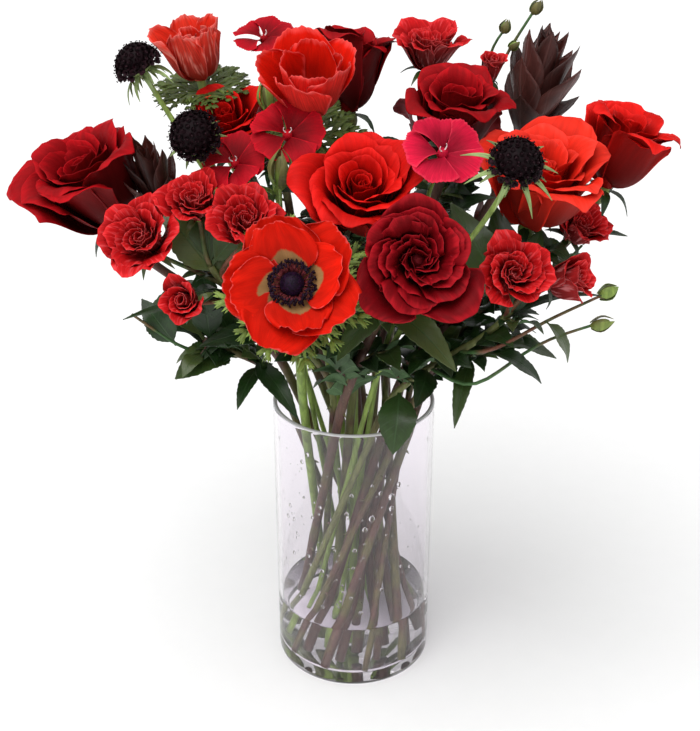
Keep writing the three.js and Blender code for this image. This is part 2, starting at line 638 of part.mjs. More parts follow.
const leftSpray = [
  sprayRose({ name: 'spray_rose_1', at: [-121, -72, 338], width: 48, axis: [-0.25, -0.7, 0.67],
    start: 0.82 }),
  sprayRose({ name: 'spray_rose_2', at: [-93, -62, 362], width: 37, axis: [-0.1, -0.5, 0.86], start: 1 }),
  sprayRose({ name: 'spray_rose_3', at: [-62, -88, 358], width: 43, axis: [0.05, -0.65, 0.76], start: 0.87,
    roll: 8 }),
  sprayRose({ name: 'spray_rose_4', at: [-94, -92, 308], width: 34, axis: [-0.2, -0.85, 0.45], kind: 'bud',
    start: 0.69 }),
];
branched({ name: 'spray_left', slot: [2, -169], radius: 2.4, fork: [-84, -58, 316], axis: [-0.35, -0.3, 0.88],
  heads: leftSpray,
  leaves: [
    { at: 0.5, to: [-92, -66, 268], width: 19, face: [0, -0.7, 1] },
    { at: 0.78, to: [-136, -68, 286], width: 14, arch: 0.05 },
  ] });

const rightSpray = [
  sprayRose({ name: 'spray_rose_5', at: [88, -100, 328], width: 44, axis: [0.1, -0.8, 0.6], start: 0.91,
    roll: 40 }),
  sprayRose({ name: 'spray_rose_6', at: [120, -76, 314], width: 36, axis: [0.75, -0.5, 0.42],
    kind: 'bud', start: 1 }),
  sprayRose({ name: 'spray_rose_7', at: [136, -28, 330], width: 38, axis: [0.4, -0.5, 0.77], start: 1 }),
];
branched({ name: 'spray_right', slot: [3, -123], radius: 2.4, fork: [92, -64, 290], axis: [0.4, -0.3, 0.86],
  heads: rightSpray,
  twigs: [
    { start: 0.6, points: [[80, -76, 268], [112, -70, 286], [148, -52, 295]] },
    { start: 0.42, points: [[70, -72, 240], [110, -68, 272], [142, -64, 281]] },
  ],
  leaves: [
    { from: [112, -70, 286], to: [126, -76, 262], width: 17 },
    { from: [80, -76, 268], to: [110, -84, 252], width: 20 },
    { at: 0.87, to: [146, -60, 298], width: 12 },
    { at: 0.2, to: [24, -70, 196], width: 25, face: [0, -1, 0.3] },
    { at: 0.4, to: [36, -88, 238], width: 16, face: [0, -1, 0.3] },
  ] });

const topSpray = [
  sprayRose({ name: 'spray_rose_8', at: [47, 50, 420], width: 46, axis: [0.05, -0.2, 0.98], start: 0.87 }),
  sprayRose({ name: 'spray_rose_9', at: [86, 44, 408], width: 25, axis: [0.2, -0.3, 0.93], kind: 'bud',
    start: 0.78 }),
];
branched({ name: 'spray_top', slot: [2, -9], radius: 2.4, fork: [70, 44, 366], axis: [0.2, 0.2, 0.96],
  heads: topSpray,
  twigs: [
    { start: 1, points: [[88, 58, 394], [98, 56, 418], [112, 54, 442]], steps: 6 },
    { start: 1, points: [[84, 64, 396], [88, 62, 420], [94, 60, 428]], steps: 5 },
  ],
  leaves: [{ at: 0.78, turn: 60, rise: 25, length: 34, width: 16 }] });

const dianthusTwins = [
  dianthusFlower({ at: [-38, -40, 388], width: 44, axis: [0, -0.65, 0.76], start: 1, thick: 1.2 }),
  dianthusFlower({ at: [-68, -42, 372], width: 40, axis: [-0.25, -0.6, 0.76], start: 0.91, thick: 1.2 }),
];
const dianthusTop = dianthusFlower({ at: [-54, 22, 430], width: 38, axis: [-0.1, -0.35, 0.93], start: 0.91 });
const dianthusRight = dianthusFlower({ at: [48, -74, 388], width: 50, axis: [0.1, -0.6, 0.79], start: 1,
  roll: 36 });
dianthusTwins.forEach((flower, i) => add(`dianthus_left_${i + 1}_petals`, flower.petals, LOOK.dark));
add('dianthus_top_petals', dianthusTop.petals, LOOK.dark);
add('dianthus_right_petals', dianthusRight.petals, LOOK.crimson);
branched({ name: 'dianthus_left', slot: [1, 152], radius: 1.8, fork: [-48, -8, 350], axis: [-0.1, -0.1, 0.99],
  heads: [...dianthusTwins.map((flower) => flower.green), dianthusTop.green],
  leaves: [{ at: 0.69, turn: 200, rise: 45, length: 34, width: 5 }] });
branched({ name: 'dianthus_right', slot: [1, -88], radius: 1.8, fork: [42, -52, 352], axis: [0, -0.1, 0.99],
  heads: [dianthusRight.green], leaves: [{ at: 0.78, turn: -70, rise: 40, length: 34, width: 5 }] });

leucadendron({ name: 'leucadendron_right', at: [118, 46, 404], width: 44, height: 70, axis: [0.2, -0.1, 0.97],
  slot: [2, -49] });
leucadendron({ name: 'leucadendron_left', at: [-122, -14, 356], width: 26, height: 52, axis: [-0.15,
  -0.3, 0.94],
  slot: [2, 71] });

branched({ name: 'foliage_left', slot: [3, 139], radius: 2.4, fork: [-92, -44, 262], axis: [-0.75, -0.3, 0.6],
  heads: [], material: LOOK.leaf,
  twigs: [{ start: 0.78, points: [[-82, -40, 246], [-108, -52, 262], [-132, -60, 286]] }],
  leaves: [
    { at: 0.72, to: [-108, -66, 246], width: 26, face: [0, -0.5, 1] },
    { from: [-108, -52, 262], to: [-128, -46, 290], width: 18, face: [0, -1, 0.5] },
    { at: 0.94, to: [-92, -30, 308], width: 22, face: [0, -1, 0.4] },
    { at: 0.5, to: [-34, -76, 224], width: 15, face: [0, -0.6, 1] },
    { at: 1, to: [-122, -10, 270], width: 22 },
    { at: 0.4, to: [-72, -60, 222], width: 12 },
  ] });
branched({ name: 'foliage_right', slot: [3, -90], radius: 2.4, fork: [86, -40, 256], axis: [0.7, -0.3, 0.6],
  heads: [], material: LOOK.leaf,
  twigs: [{ start: 0.87, points: [[96, -24, 262], [124, -8, 288], [142, -8, 310]] }],
  leaves: [
    { at: 1, to: [124, -50, 252], width: 22 },
    { at: 0.78, to: [60, -84, 222], width: 12, tooth: 0.1 },
    { from: [124, -8, 288], to: [152, 12, 296], width: 18 },
    { at: 0.87, to: [104, -4, 240], width: 20 },
    { from: [142, -8, 310], to: [166, -24, 322], width: 12 },
  ] });
branched({ name: 'foliage_back_right', slot: [3, -25], radius: 2.2, fork: [64, 24, 300], axis: [0.6, 0.3, 0.7],
  heads: [], material: LOOK.leaf,
  leaves: [
    { at: 0.78, to: [104, 26, 262], width: 22 },
    { at: 1, to: [112, 22, 300], width: 22 },
    { at: 0.91, to: [74, 62, 280], width: 20 },
    { at: 0.64, to: [84, 58, 244], width: 18 },
  ] });
branched({ name: 'foliage_back_left', slot: [3, 41], radius: 2.2, fork: [-18, 96, 284], axis: [-0.1, 0.7, 0.7],
  heads: [], material: LOOK.leaf,
  leaves: [
    { at: 1, to: [-20, 134, 296], width: 22 },
    { at: 0.91, to: [22, 120, 276], width: 22 },
    { at: 0.82, to: [-60, 112, 268], width: 22 },
    { at: 0.69, to: [8, 104, 240], width: 20 },
    { at: 0.6, to: [-52, 78, 236], width: 20 },
  ] });

// ---- Clearances ---------------------------------------------------------------------
// Earlier parts keep their shape. A later part that comes too close gives way by the gap.
const TOO_CLOSE = 0.8; // share of the gap that a part may lose before it gives way
const NUDGE = 1.3; // how far the keeper is moved each way to cut its clearance, in gaps
const NUDGES = [[1, 0, 0], [-1, 0, 0], [0, 1, 0], [0, -1, 0], [0, 0, 1], [0, 0, -1]];

function giveWay(piece, keeper) {
  let rest = piece;
  for (const nudge of NUDGES) {
    rest = rest.subtract(keeper.translate(nudge.map((step) => step * GAP * NUDGE)));
  }
  return rest;
}

function settle(list) {
  list.forEach((part, index) => {
    let { piece } = part;
    for (const { piece: keeper } of list.slice(0, index)) {
      if (piece.minGap(keeper, GAP) < GAP * TOO_CLOSE) {
        piece = mainBody(giveWay(piece, keeper).simplify(TRIM));
      }
    }
    part.piece = mainBody(rounded(mainBody(piece)));
  });
}

parts.unshift({ name: 'vase', piece: vase(), material: LOOK.glass });
add('water', water(), LOOK.water);
settle(parts);

const group = new THREE.Group();
group.name = 'rose_in_vase';
parts.forEach(({ name, piece, material }) => {
  const mesh = new THREE.Mesh(toGeometry(piece), material);
  mesh.name = name;
  group.add(mesh);
});

export default group;
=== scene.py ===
"""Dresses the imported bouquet: a mixed red bunch in a clear glass cylinder vase with water.

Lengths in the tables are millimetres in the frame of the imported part. Angles are degrees.
"""

import math

import bmesh
import bpy
import numpy as np
from bpy.props import FloatProperty, FloatVectorProperty, IntProperty, PointerProperty
from mathutils import Matrix, Vector


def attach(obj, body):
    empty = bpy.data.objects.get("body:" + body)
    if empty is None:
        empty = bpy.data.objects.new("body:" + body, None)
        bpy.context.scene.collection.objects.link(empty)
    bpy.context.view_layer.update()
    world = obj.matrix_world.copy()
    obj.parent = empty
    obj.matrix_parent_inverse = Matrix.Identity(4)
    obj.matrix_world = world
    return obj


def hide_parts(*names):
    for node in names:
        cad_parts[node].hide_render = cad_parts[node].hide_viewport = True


bl_info = {
    "name": "Red bouquet in a glass vase",
    "version": (1, 0, 0),
    "blender": (4, 5, 0),
    "location": "View3D > Sidebar > Bouquet",
    "description": "Petals, leaves, stems, glass and water for a packed bouquet",
    "category": "Object",
}

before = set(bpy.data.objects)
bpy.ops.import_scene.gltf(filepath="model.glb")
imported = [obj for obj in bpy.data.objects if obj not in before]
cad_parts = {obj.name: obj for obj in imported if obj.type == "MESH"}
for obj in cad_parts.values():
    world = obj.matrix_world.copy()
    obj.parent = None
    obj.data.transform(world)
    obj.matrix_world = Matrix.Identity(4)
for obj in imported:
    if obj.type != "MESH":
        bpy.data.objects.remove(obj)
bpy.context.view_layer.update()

MM = 0.001
GOLDEN_TURN = 137.508
UP = Vector((0, 0, 1))


def paint(code):
    """A linear colour from six hexadecimal digits."""
    parts = [int(code[i : i + 2], 16) / 255 for i in (0, 2, 4)]
    return [p / 12.92 if p <= 0.04045 else ((p + 0.055) / 1.055) ** 2.4 for p in parts]


# ---- What a user may change ----------------------------------------------------------


def colour(name, description, code):
    return FloatVectorProperty(
        name=name, description=description, subtype="COLOR", min=0, max=1, default=paint(code)
    )


class BouquetColours(bpy.types.PropertyGroup):
    """The petal, leaf and glass colours."""

    bright: colour("Bright rose", "Face of the bright red roses", "e3150e")
    coral: colour("Coral rose", "Face of the coral red rose", "f2301e")
    dark: colour("Dark rose", "Face of the dark red roses", "a10912")
    burgundy: colour("Burgundy rose", "Face of the burgundy garden roses", "820611")
    scarlet: colour("Anemone", "Face of the open anemone", "f5230f")
    blush: colour("Pale anemone", "Face of the closed anemone", "fb3d28")
    spray: colour("Spray rose", "Face of the spray roses", "c81418")
    crimson: colour("Dianthus", "Face of the crimson dianthus", "dc163e")
    maroon: colour("Dark dianthus", "Face of the dark dianthus", "b80c1e")
    black: colour("Scabiosa", "Florets of the scabiosa", "16040a")
    bract: colour("Leucadendron", "Bracts of the leucadendron", "582720")
    leaf: colour("Leaf", "Upper side of the rose leaves", "223f16")
    fresh: colour("Fresh green", "Anemone stems, ruffs and young leaves", "86a04a")
    wood: colour("Bark", "Woody stems", "5d4038")
    glass: colour("Glass", "Tint of the vase", "fbf8fc")


class BouquetSizes(bpy.types.PropertyGroup):
    """The sizes of the fine detail."""

    petal: FloatProperty(
        name="Petal thickness", description="Thickness of a petal at its middle",
        default=0.00055, min=0.0002, max=0.001, unit="LENGTH",
    )
    leaf: FloatProperty(
        name="Leaf thickness", description="Thickness of a leaf, sepal or bract at its middle",
        default=0.0006, min=0.0002, max=0.001, unit="LENGTH",
    )
    water: FloatProperty(
        name="Water level", description="Height of the water above the table",
        default=0.046, min=0.02, max=0.15, unit="LENGTH",
    )
    beads: IntProperty(
        name="Drops", description="Drops of water on the inner wall of the vase",
        default=150, min=0, max=400,
    )
    stamens: IntProperty(
        name="Stamens", description="Stamens round the heart of the open anemone",
        default=165, min=0, max=240,
    )


# ---- Grown shapes --------------------------------------------------------------------

CRISP = 0.97  # the last row of corners of a blade keeps close to its edge
TEMPLATES = {}


def add_marks(mesh):
    """Makes room for what the finishes read: how a blade lies, and how far out its row stands, which
    a petal's finish reads to paint shade into its inner rows.
    """
    mesh.attributes.new("lie", "FLOAT_VECTOR", "POINT")
    mesh.attributes.new("tone", "FLOAT", "POINT")


def template(kind, across, along):
    """A flat blade, a capped tube or a ball made once, and where each of its corners lies."""
    key = (kind, across, along)
    if key in TEMPLATES:
        return TEMPLATES[key]
    bm = bmesh.new()
    if kind == "ball":
        bmesh.ops.create_uvsphere(bm, u_segments=across, v_segments=along, radius=1)
    else:
        bmesh.ops.create_grid(bm, x_segments=across, y_segments=along, size=1)
    if kind == "tube":
        for vert in bm.verts:
            turn = math.pi * vert.co.x
            vert.co = (math.cos(turn), math.sin(turn), vert.co.y)
        bmesh.ops.remove_doubles(bm, verts=bm.verts, dist=1e-4)
        ends = [edge for edge in bm.edges if edge.is_boundary]
        bmesh.ops.holes_fill(bm, edges=ends, sides=0)
    if kind == "blade":
        bmesh.ops.solidify(bm, geom=bm.faces[:], thickness=1)
    bmesh.ops.recalc_face_normals(bm, faces=bm.faces)
    for face in bm.faces:
        face.smooth = True
        face.material_index = int(kind == "blade" and face.normal.z < -0.5)
    mesh = bpy.data.meshes.new("_".join(map(str, key)))
    bm.to_mesh(mesh)
    bm.free()
    add_marks(mesh)
    rest = np.empty(len(mesh.vertices) * 3)
    mesh.vertices.foreach_get("co", rest)
    rest = rest.reshape(-1, 3)
    if kind == "blade":
        rest[:, 2] = np.where(rest[:, 2] > -0.5, 1, -1)
        for axis, count in ((0, across), (1, along)):
            inner = np.abs(rest[:, axis]) < 0.999
            rest[inner, axis] *= CRISP / max(1 - 2 / count, 0.1)
        rest[:, 1] = (rest[:, 1] + 1) / 2
    under = np.empty(len(mesh.polygons), np.int32)
    mesh.polygons.foreach_get("material_index", under)
    TEMPLATES[key] = mesh, rest, under
    return TEMPLATES[key]


def unit(values):
    values = np.asarray(values, float)
    return values / max(np.linalg.norm(values), 1e-9)


def standing(point, axis, roll=0):
    """The place of something made along +Z: its foot at a point, facing along an axis."""
    turn = UP.rotation_difference(Vector(axis)).to_matrix().to_4x4()
    return Matrix.Translation(point) @ turn @ Matrix.Rotation(math.radians(roll), 4, "Z")


class Growth:
    """Gathers blades, tubes, balls and turned shapes into one mesh, in millimetres."""

    def __init__(self, seed, place=Matrix()):
        self.bm = bmesh.new()
        self.draw = np.random.default_rng(sum(map(ord, seed)))
        self.place = place

    def put(self, mesh, points, across, along, finish, tone=0.0):
        """Adds a mesh with its corners at points. finish is one index, or one for each face."""
        place = np.array(self.place)
        points = points @ place[:3, :3].T + place[:3, 3]
        lie = np.c_[across, along, np.full(len(points), self.draw.random())]
        mesh.vertices.foreach_set("co", (points * MM).ravel())
        mesh.attributes["lie"].data.foreach_set("vector", lie.astype(np.float32).ravel())
        mesh.attributes["tone"].data.foreach_set("value", np.full(len(points), tone, np.float32))
        index = np.broadcast_to(finish, len(mesh.polygons)).astype(np.int32)
        mesh.polygons.foreach_set("material_index", index)
        self.bm.from_mesh(mesh)

    def blade(self, surface, across, along, thick, finish, tone=0.0, edge=0.4):
        """A thin closed shell on surface(u, v). finish is (the side it faces, the other)."""
        mesh, rest, under = template("blade", across, along)
        u, v, side = rest.T
        step = 0.01
        middle = surface(u, v)
        sideways = surface(u + step, v) - surface(u - step, v)
        onwards = surface(u, np.minimum(v + step, 1)) - surface(u, np.maximum(v - step, 0))
        normal = np.cross(sideways, onwards)
        normal /= np.maximum(np.linalg.norm(normal, axis=1), 1e-9)[:, None]
        rim = np.clip((np.maximum(np.abs(u), v) - 0.5) / 0.5, 0, 1)
        depth = thick / 2 * (1 - (1 - edge) * rim**2)
        points = middle + normal * (side * depth)[:, None]
        self.put(mesh, points, u, v, np.where(under == 1, finish[1], finish[0]), tone)

    def tube(self, points, radius, finish=0, *, sides, tone=0.0):
        """A round tube through points. radius is one number, or one for each point."""
        points = np.asarray(points, float)
        count = len(points)
        mesh, rest, _ = template("tube", sides, count - 1)
        tangents = np.gradient(points, axis=0)
        tangents /= np.linalg.norm(tangents, axis=1)[:, None]
        spare = (0, 0, 1) if abs(tangents[0][2]) < 0.9 else (1, 0, 0)
        normal = np.cross(tangents[0], spare)
        normals = []
        for tangent in tangents:
            normal = unit(normal - tangent * (normal @ tangent))
            normals.append(normal)
        normals = np.array(normals)
        sideways = np.cross(tangents, normals)
        row = np.rint((rest[:, 2] + 1) / 2 * (count - 1)).astype(int)
        ring = normals[row] * rest[:, :1] + sideways[row] * rest[:, 1:2]
        reach = np.broadcast_to(radius, count)[row]
        around = np.arctan2(rest[:, 1], rest[:, 0]) / math.pi
        corners = points[row] + ring * reach[:, None]
        self.put(mesh, corners, around, row / (count - 1), finish, tone)

    def ball(self, place, sides, finish=0):
        """A ball squeezed and turned by a matrix."""
        mesh, rest, _ = template("ball", sides, max(4, sides // 2 + 1))
        turn = np.array(place)
        points = rest @ turn[:3, :3].T + turn[:3, 3]
        self.put(mesh, points, rest[:, 0], rest[:, 1], finish)

    def turned(self, profile, sides, finish=0):
        """A solid turned round the axis, from a list of (radius, height)."""
        bm = bmesh.new()
        verts = [bm.verts.new((radius, 0, height)) for radius, height in profile]
        for one, other in zip(verts, verts[1:]):
            bm.edges.new((one, other))
        bmesh.ops.spin(
            bm, geom=bm.verts[:] + bm.edges[:], cent=(0, 0, 0), axis=(0, 0, 1),
            angle=2 * math.pi, steps=sides, use_merge=True,
        )
        bmesh.ops.remove_doubles(bm, verts=bm.verts, dist=1e-3)
        bmesh.ops.recalc_face_normals(bm, faces=bm.faces)
        for face in bm.faces:
            face.smooth = True
        mesh = bpy.data.meshes.new("turned")
        bm.to_mesh(mesh)
        bm.free()
        add_marks(mesh)
        points = np.array([vert.co for vert in mesh.vertices])
        turn = np.arctan2(points[:, 1], points[:, 0]) / math.pi
        height = (points[:, 2] - points[:, 2].min()) / max(np.ptp(points[:, 2]), 1e-6)
        self.put(mesh, points, turn, height, finish)
        bpy.data.meshes.remove(mesh)


def piece(name, growth, looks, slot, *nodes):
    """Makes the gathered mesh an object with the named finishes, for the nodes it replaces."""
    mesh = bpy.data.meshes.new(name)
    growth.bm.to_mesh(mesh)
    growth.bm.free()
    for look in looks:
        mesh.materials.append(finish(look))
    made = bpy.data.objects.new(name, mesh)
    bpy.context.scene.collection.objects.link(made)
    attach(made, "root")
    if nodes:
        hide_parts(*nodes)
    return made


def head_piece(name, growth, looks, slot):
    """The petals of one bloom."""
    piece(f"{name}_head", growth, looks, slot, f"{name}_petals")


def stalk_piece(name, growth, *looks):
    """A stem with the green that grows on it."""
    piece(f"{name}_stalk", growth, looks, "green_stems_leaves", f"{name}_stem")


# ---- Petals --------------------------------------------------------------------------


def petal(growth, *, turn, root, lift, length, width, lean, cap, wrap=1.0, skew=0.0, taper=0.2,
          roll=0.0, flare=0.0, ruffle=0.0, waves=2.0, soft=0.2, cusp=0.0, jag=0.0, thick, grid,
          tone=0.0, finish=(0, 1)):
    """One petal. It leans by lean degrees from the axis at its root, middle and tip."""
    at_root, at_middle, at_tip = lean
    steps = np.linspace(0, 1.2, 97)
    swell = np.sin(np.minimum(1, 2 * steps) * math.pi / 2)
    turned_over = np.maximum(0, 2 * steps - 1) ** 2
    curl = np.clip((steps - 0.76) / 0.24, 0, 1.5) ** 1.5
    facing = np.radians(
        at_root + (at_middle - at_root) * swell + (at_tip - at_middle) * turned_over + roll * curl
    )
    slice_ = steps[1] * length

    def run(slope):
        return np.concatenate([[0], np.cumsum((slope[1:] + slope[:-1]) / 2)]) * slice_

    radii = root + run(np.sin(facing))
    heights = lift + run(np.cos(facing))
    around = math.radians(turn)
    phase = growth.draw.random() * 2 * math.pi

    def surface(u, v):
        side = np.abs(u)
        ragged = jag * (np.sin(13 * u + phase) + np.sin(29 * u - 2 * phase)) / 2
        reach = v * (1 - soft * side**3 + cusp * np.exp(-((u / 0.22) ** 2)) - ragged)
        radius = np.interp(reach, steps, radii)
        height = np.interp(reach, steps, heights)
        angle = np.interp(reach, steps, facing)
        fullness = 0.16 + 0.84 * np.sin(np.minimum(1, v * 1.35) * math.pi / 2) - taper * v**6
        bend = np.maximum(radius, 2.5) * wrap
        swing = u * np.minimum(fullness * width / 2 / bend, cap / wrap)
        aside = skew * u + flare * side**3 * v**2
        aside = aside + ruffle * v**2 * (
            np.sin(waves * math.pi * u + phase) + 0.5 * np.sin(2.3 * waves * u * math.pi - phase)
        ) * (0.35 + 0.65 * side)
        middle = radius - bend + aside * np.cos(angle)
        return np.c_[
            middle * math.cos(around) + bend * np.cos(around + swing),
            middle * math.sin(around) + bend * np.sin(around + swing),
            height - aside * np.sin(angle),
        ]

    growth.blade(surface, *grid, thick, finish, tone)


# Each kind of head goes from its inner to its outer row. Lengths are parts of the head's
# radius, and lap is a petal's widest span over its share of the ring.
HEADS = {
    "open": {
        "counts": (2, 3, 3, 3, 4, 4, 5, 5),
        "inner": dict(root=0.03, lift=0.42, length=0.5, width=0.5, lean=(14, -4, 2), skew=0.045,
                      lap=1.7, roll=0, flare=0, ruffle=0.012, soft=0.1, cusp=0, jag=0.003),
        "outer": dict(root=0.13, lift=0.1, length=1.38, width=1.75, lean=(80, 17, 58), skew=0.11,
                      lap=1.45, roll=58, flare=0.15, ruffle=0.035, soft=0.24, cusp=0.08, jag=0.008),
        "bow": 1.7, "sink": 0.72,
    },
    "deep": {
        "counts": (2, 3, 3, 3, 4, 4, 5, 5),
        "inner": dict(root=0.03, lift=0.52, length=0.56, width=0.5, lean=(16, -4, 2), skew=0.045,
                      lap=1.7, roll=0, flare=0, ruffle=0.012, soft=0.1, cusp=0, jag=0.003),
        "outer": dict(root=0.13, lift=0.1, length=1.56, width=1.8, lean=(80, 13, 54), skew=0.11,
                      lap=1.5, roll=58, flare=0.15, ruffle=0.04, soft=0.22, cusp=0.08, jag=0.008),
        "bow": 1.9, "sink": 0.76,
    },
    "cup": {
        "counts": (2, 3, 3, 4, 4, 5),
        "inner": dict(root=0.03, lift=0.42, length=0.86, width=0.6, lean=(16, -4, 2), skew=0.045,
                      lap=1.75, roll=0, flare=0, ruffle=0.01, soft=0.1, cusp=0, jag=0.004),
        "outer": dict(root=0.13, lift=0.12, length=1.56, width=1.75, lean=(78, 9, 54), skew=0.1,
                      lap=1.4, roll=70, flare=0.12, ruffle=0.035, soft=0.25, cusp=0.09, jag=0.01),
        "bow": 1.9, "sink": 0.76,
    },
    "garden": {
        "counts": (3, 4, 4, 5, 5, 6, 6, 5),
        "inner": dict(root=0.07, lift=0.3, length=0.44, width=0.6, lean=(40, 4, 12), skew=0.1,
                      lap=1.25, roll=10, flare=0, ruffle=0.07, soft=0.14, cusp=0, jag=0.004),
        "outer": dict(root=0.13, lift=0.1, length=1.32, width=1.6, lean=(80, 26, 58), skew=0.11,
                      lap=1.3, roll=40, flare=0.1, ruffle=0.07, soft=0.2, cusp=0.03, jag=0.008),
        "bow": 1.25, "sink": 0.64,
    },
    "side": {
        "counts": (2, 3, 3, 4, 4, 5),
        "inner": dict(root=0.03, lift=0.44, length=0.58, width=0.5, lean=(16, -4, 2), skew=0.045,
                      lap=1.75, roll=0, flare=0, ruffle=0.01, soft=0.1, cusp=0, jag=0.004),
        "outer": dict(root=0.13, lift=0.12, length=1.3, width=1.7, lean=(82, 26, 60), skew=0.1,
                      lap=1.42, roll=56, flare=0.1, ruffle=0.035, soft=0.25, cusp=0.07, jag=0.01),
        "bow": 1.7, "sink": 0.66,
    },
    "spray": {
        "counts": (3, 4, 5, 5, 6, 6),
        "inner": dict(root=0.06, lift=0.36, length=0.44, width=0.52, lean=(34, 2, 8), skew=0.08,
                      lap=1.35, roll=0, flare=0, ruffle=0.04, soft=0.14, cusp=0, jag=0.02),
        "outer": dict(root=0.13, lift=0.1, length=1.3, width=1.55, lean=(80, 24, 56), skew=0.11,
                      lap=1.35, roll=40, flare=0.09, ruffle=0.075, soft=0.22, cusp=0.05, jag=0.03),
        "bow": 1.4, "sink": 0.62,
    },
    "bud": {
        "counts": (2, 3, 4, 5),
        "inner": dict(root=0.05, lift=0.3, length=0.95, width=0.7, lean=(36, -6, 4), skew=0.06,
                      lap=1.7, roll=0, flare=0, ruffle=0.02, soft=0.12, cusp=0, jag=0.01),
        "outer": dict(root=0.13, lift=0.12, length=1.46, width=1.3, lean=(70, 6, 34), skew=0.1,
                      lap=1.4, roll=40, flare=0.06, ruffle=0.045, soft=0.2, cusp=0.05, jag=0.02),
        "bow": 1.5, "sink": 0.6,
    },
}
PETAL_VARIES = 0.08
SMALL_HEAD = 26  # radius up to which a head has coarser petals
PETAL_GRIDS = {"small": (12, 9), "inner": (12, 10), "outer": (20, 15)}


def head_rows(kind):
    """The rows of a head, from its heart outwards."""
    table = HEADS[kind]
    inner, outer, counts = table["inner"], table["outer"], table["counts"]
    for index, count in enumerate(counts):
        share = index / (len(counts) - 1)
        row = {
            key: inner[key] + (outer[key] - inner[key]) * share
            for key in inner if key != "lean"
        }
        late = share ** table["bow"]
        early = share**0.8
        row["lean"] = tuple(
            inner["lean"][i] + (outer["lean"][i] - inner["lean"][i]) * part
            for i, part in enumerate((early, share**1.2, late))
        )
        row["lift"] = inner["lift"] + (outer["lift"] - inner["lift"]) * early
        row["roll"] = inner["roll"] + (outer["roll"] - inner["roll"]) * late
        yield index, share, count, row


def rose_head(growth, kind, size, thick):
    """Petals in rows from a tight heart to a rolled rim."""
    lengths = ("root", "lift", "length", "width", "skew", "flare", "ruffle")
    for index, share, count, row in head_rows(kind):
        lap = row.pop("lap")
        row.update({key: row[key] * size for key in lengths})
        region = "small" if size <= SMALL_HEAD else "inner" if share < 0.4 else "outer"
        for i in range(count):
            vary = 1 + PETAL_VARIES * (0.7 + share) * (2 * growth.draw.random(3) - 1)
            petal(
                growth,
                **{**row, "length": row["length"] * vary[0], "lean": tuple(
                    angle + 60 * (vary[1] - 1) for angle in row["lean"]
                )},
                turn=360 / count * i + index * GOLDEN_TURN / 2.2 + 120 * (vary[2] - 1),
                cap=math.pi / count * lap,
                thick=thick,
                tone=share,
                waves=1.2 + 1.8 * growth.draw.random(),
                grid=PETAL_GRIDS[region],
            )
    # A solid heart among the inner petals takes the first finish. For the large roses that is the
    # darker back finish, with its painted shade.
    heart = 0.5 * size
    growth.turned([(0, 0), (0.17 * size, 0), (0.19 * size, 0.25 * size), (0.1 * size, heart),
                   (0, heart * 1.1)], 12)


# ---- Stems and leaves ----------------------------------------------------------------

VASE = dict(radius=54.0, height=200.0, wall=2.8, base=8.0)
# The stems lean round one another. A slot in the sheaf is its ring and its turn, and the rings
# have their radius at the waist. Twist times that radius is how far a stem goes sideways for
# each millimetre up.
SHEAF = dict(waist=112, twist=0.0145, rings=(0, 9.5, 18.5, 27))
MOUTH = VASE["height"] + 8
STEM_RADIUS = dict(rose=3.2, anemone=3.0, leucadendron=3.0, spray=2.4, scabiosa=1.8, dianthus=1.8)
TWIG_RADIUS = dict(spray_rose=1.3, dianthus=1.2)
ROSE_TEETH, SPRAY_TEETH, LEAFLET_TEETH = 11, 9, 9
# The leaflets of a compound leaf: how far along its rib, on which side, and how long.
LEAFLETS = ((1, 0, 1), (0.74, 1, 0.86), (0.7, -1, 0.86), (0.36, 1, 0.7), (0.3, -1, 0.7))


def bezier(corners):
    a, b, c, d = (np.asarray(corner, float) for corner in corners)

    def at(t):
        t = np.asarray(t, float)[..., None]
        return (1 - t) ** 3 * a + 3 * (1 - t) ** 2 * t * b + 3 * (1 - t) * t**2 * c + t**3 * d

    return at


def sheaf_point(ring, turn, height):
    reach = SHEAF["rings"][ring]
    out = np.array([math.cos(math.radians(turn)), math.sin(math.radians(turn)), 0])
    side = np.array([-out[1], out[0], 0])
    point = out * reach + side * reach * SHEAF["twist"] * (height - SHEAF["waist"])
    point[2] = height
    return point


class Stem:
    """A straight line of the sheaf to above the rim, then a bend to the head's foot."""

    def __init__(self, slot, base, axis, radius):
        foot = sheaf_point(*slot, VASE["base"] + 0.3 + 0.5 * radius)
        mouth = sheaf_point(*slot, MOUTH)
        base, axis = np.asarray(base, float), unit(axis)
        along, span = unit(mouth - foot), np.linalg.norm(base - mouth)
        self.foot, self.mouth, self.radius = foot, mouth, radius
        self.bend = bezier(
            [mouth, mouth + along * span * 0.4, base - axis * span * 0.35, base]
        )

    def points(self):
        line = self.foot + (self.mouth - self.foot) * np.linspace(0, 1, 20)[:-1, None]
        return np.vstack([line, self.bend(np.linspace(0, 1, 26))])


def grow_stem(growth, stem, finish, knots=5, swell=0.12, slim=0.85, prickles=0):
    """The stem's tube, with slight swellings, a slimmer neck, and prickles if it has them."""
    points = stem.points()
    share = np.linspace(0, 1, len(points))
    radii = stem.radius * (1 - (1 - slim) * share)
    for knot in growth.draw.random(knots):
        radii = radii * (1 + swell * np.exp(-(((share - knot) / 0.018) ** 2)))
    growth.tube(points, radii, finish, sides=12)
    for _ in range(prickles):
        row = int(growth.draw.integers(3, len(points) - 8))
        way = unit(points[row + 1] - points[row])
        out = unit(np.cross(way, growth.draw.normal(size=3)))
        start = points[row] + out * radii[row] * 0.7
        growth.tube(
            [start, start + out * 1.6 - way * 0.3, start + out * 3.2 - way * 1.6],
            [1.5, 0.7, 0.08], finish, sides=6, tone=1.0,
        )


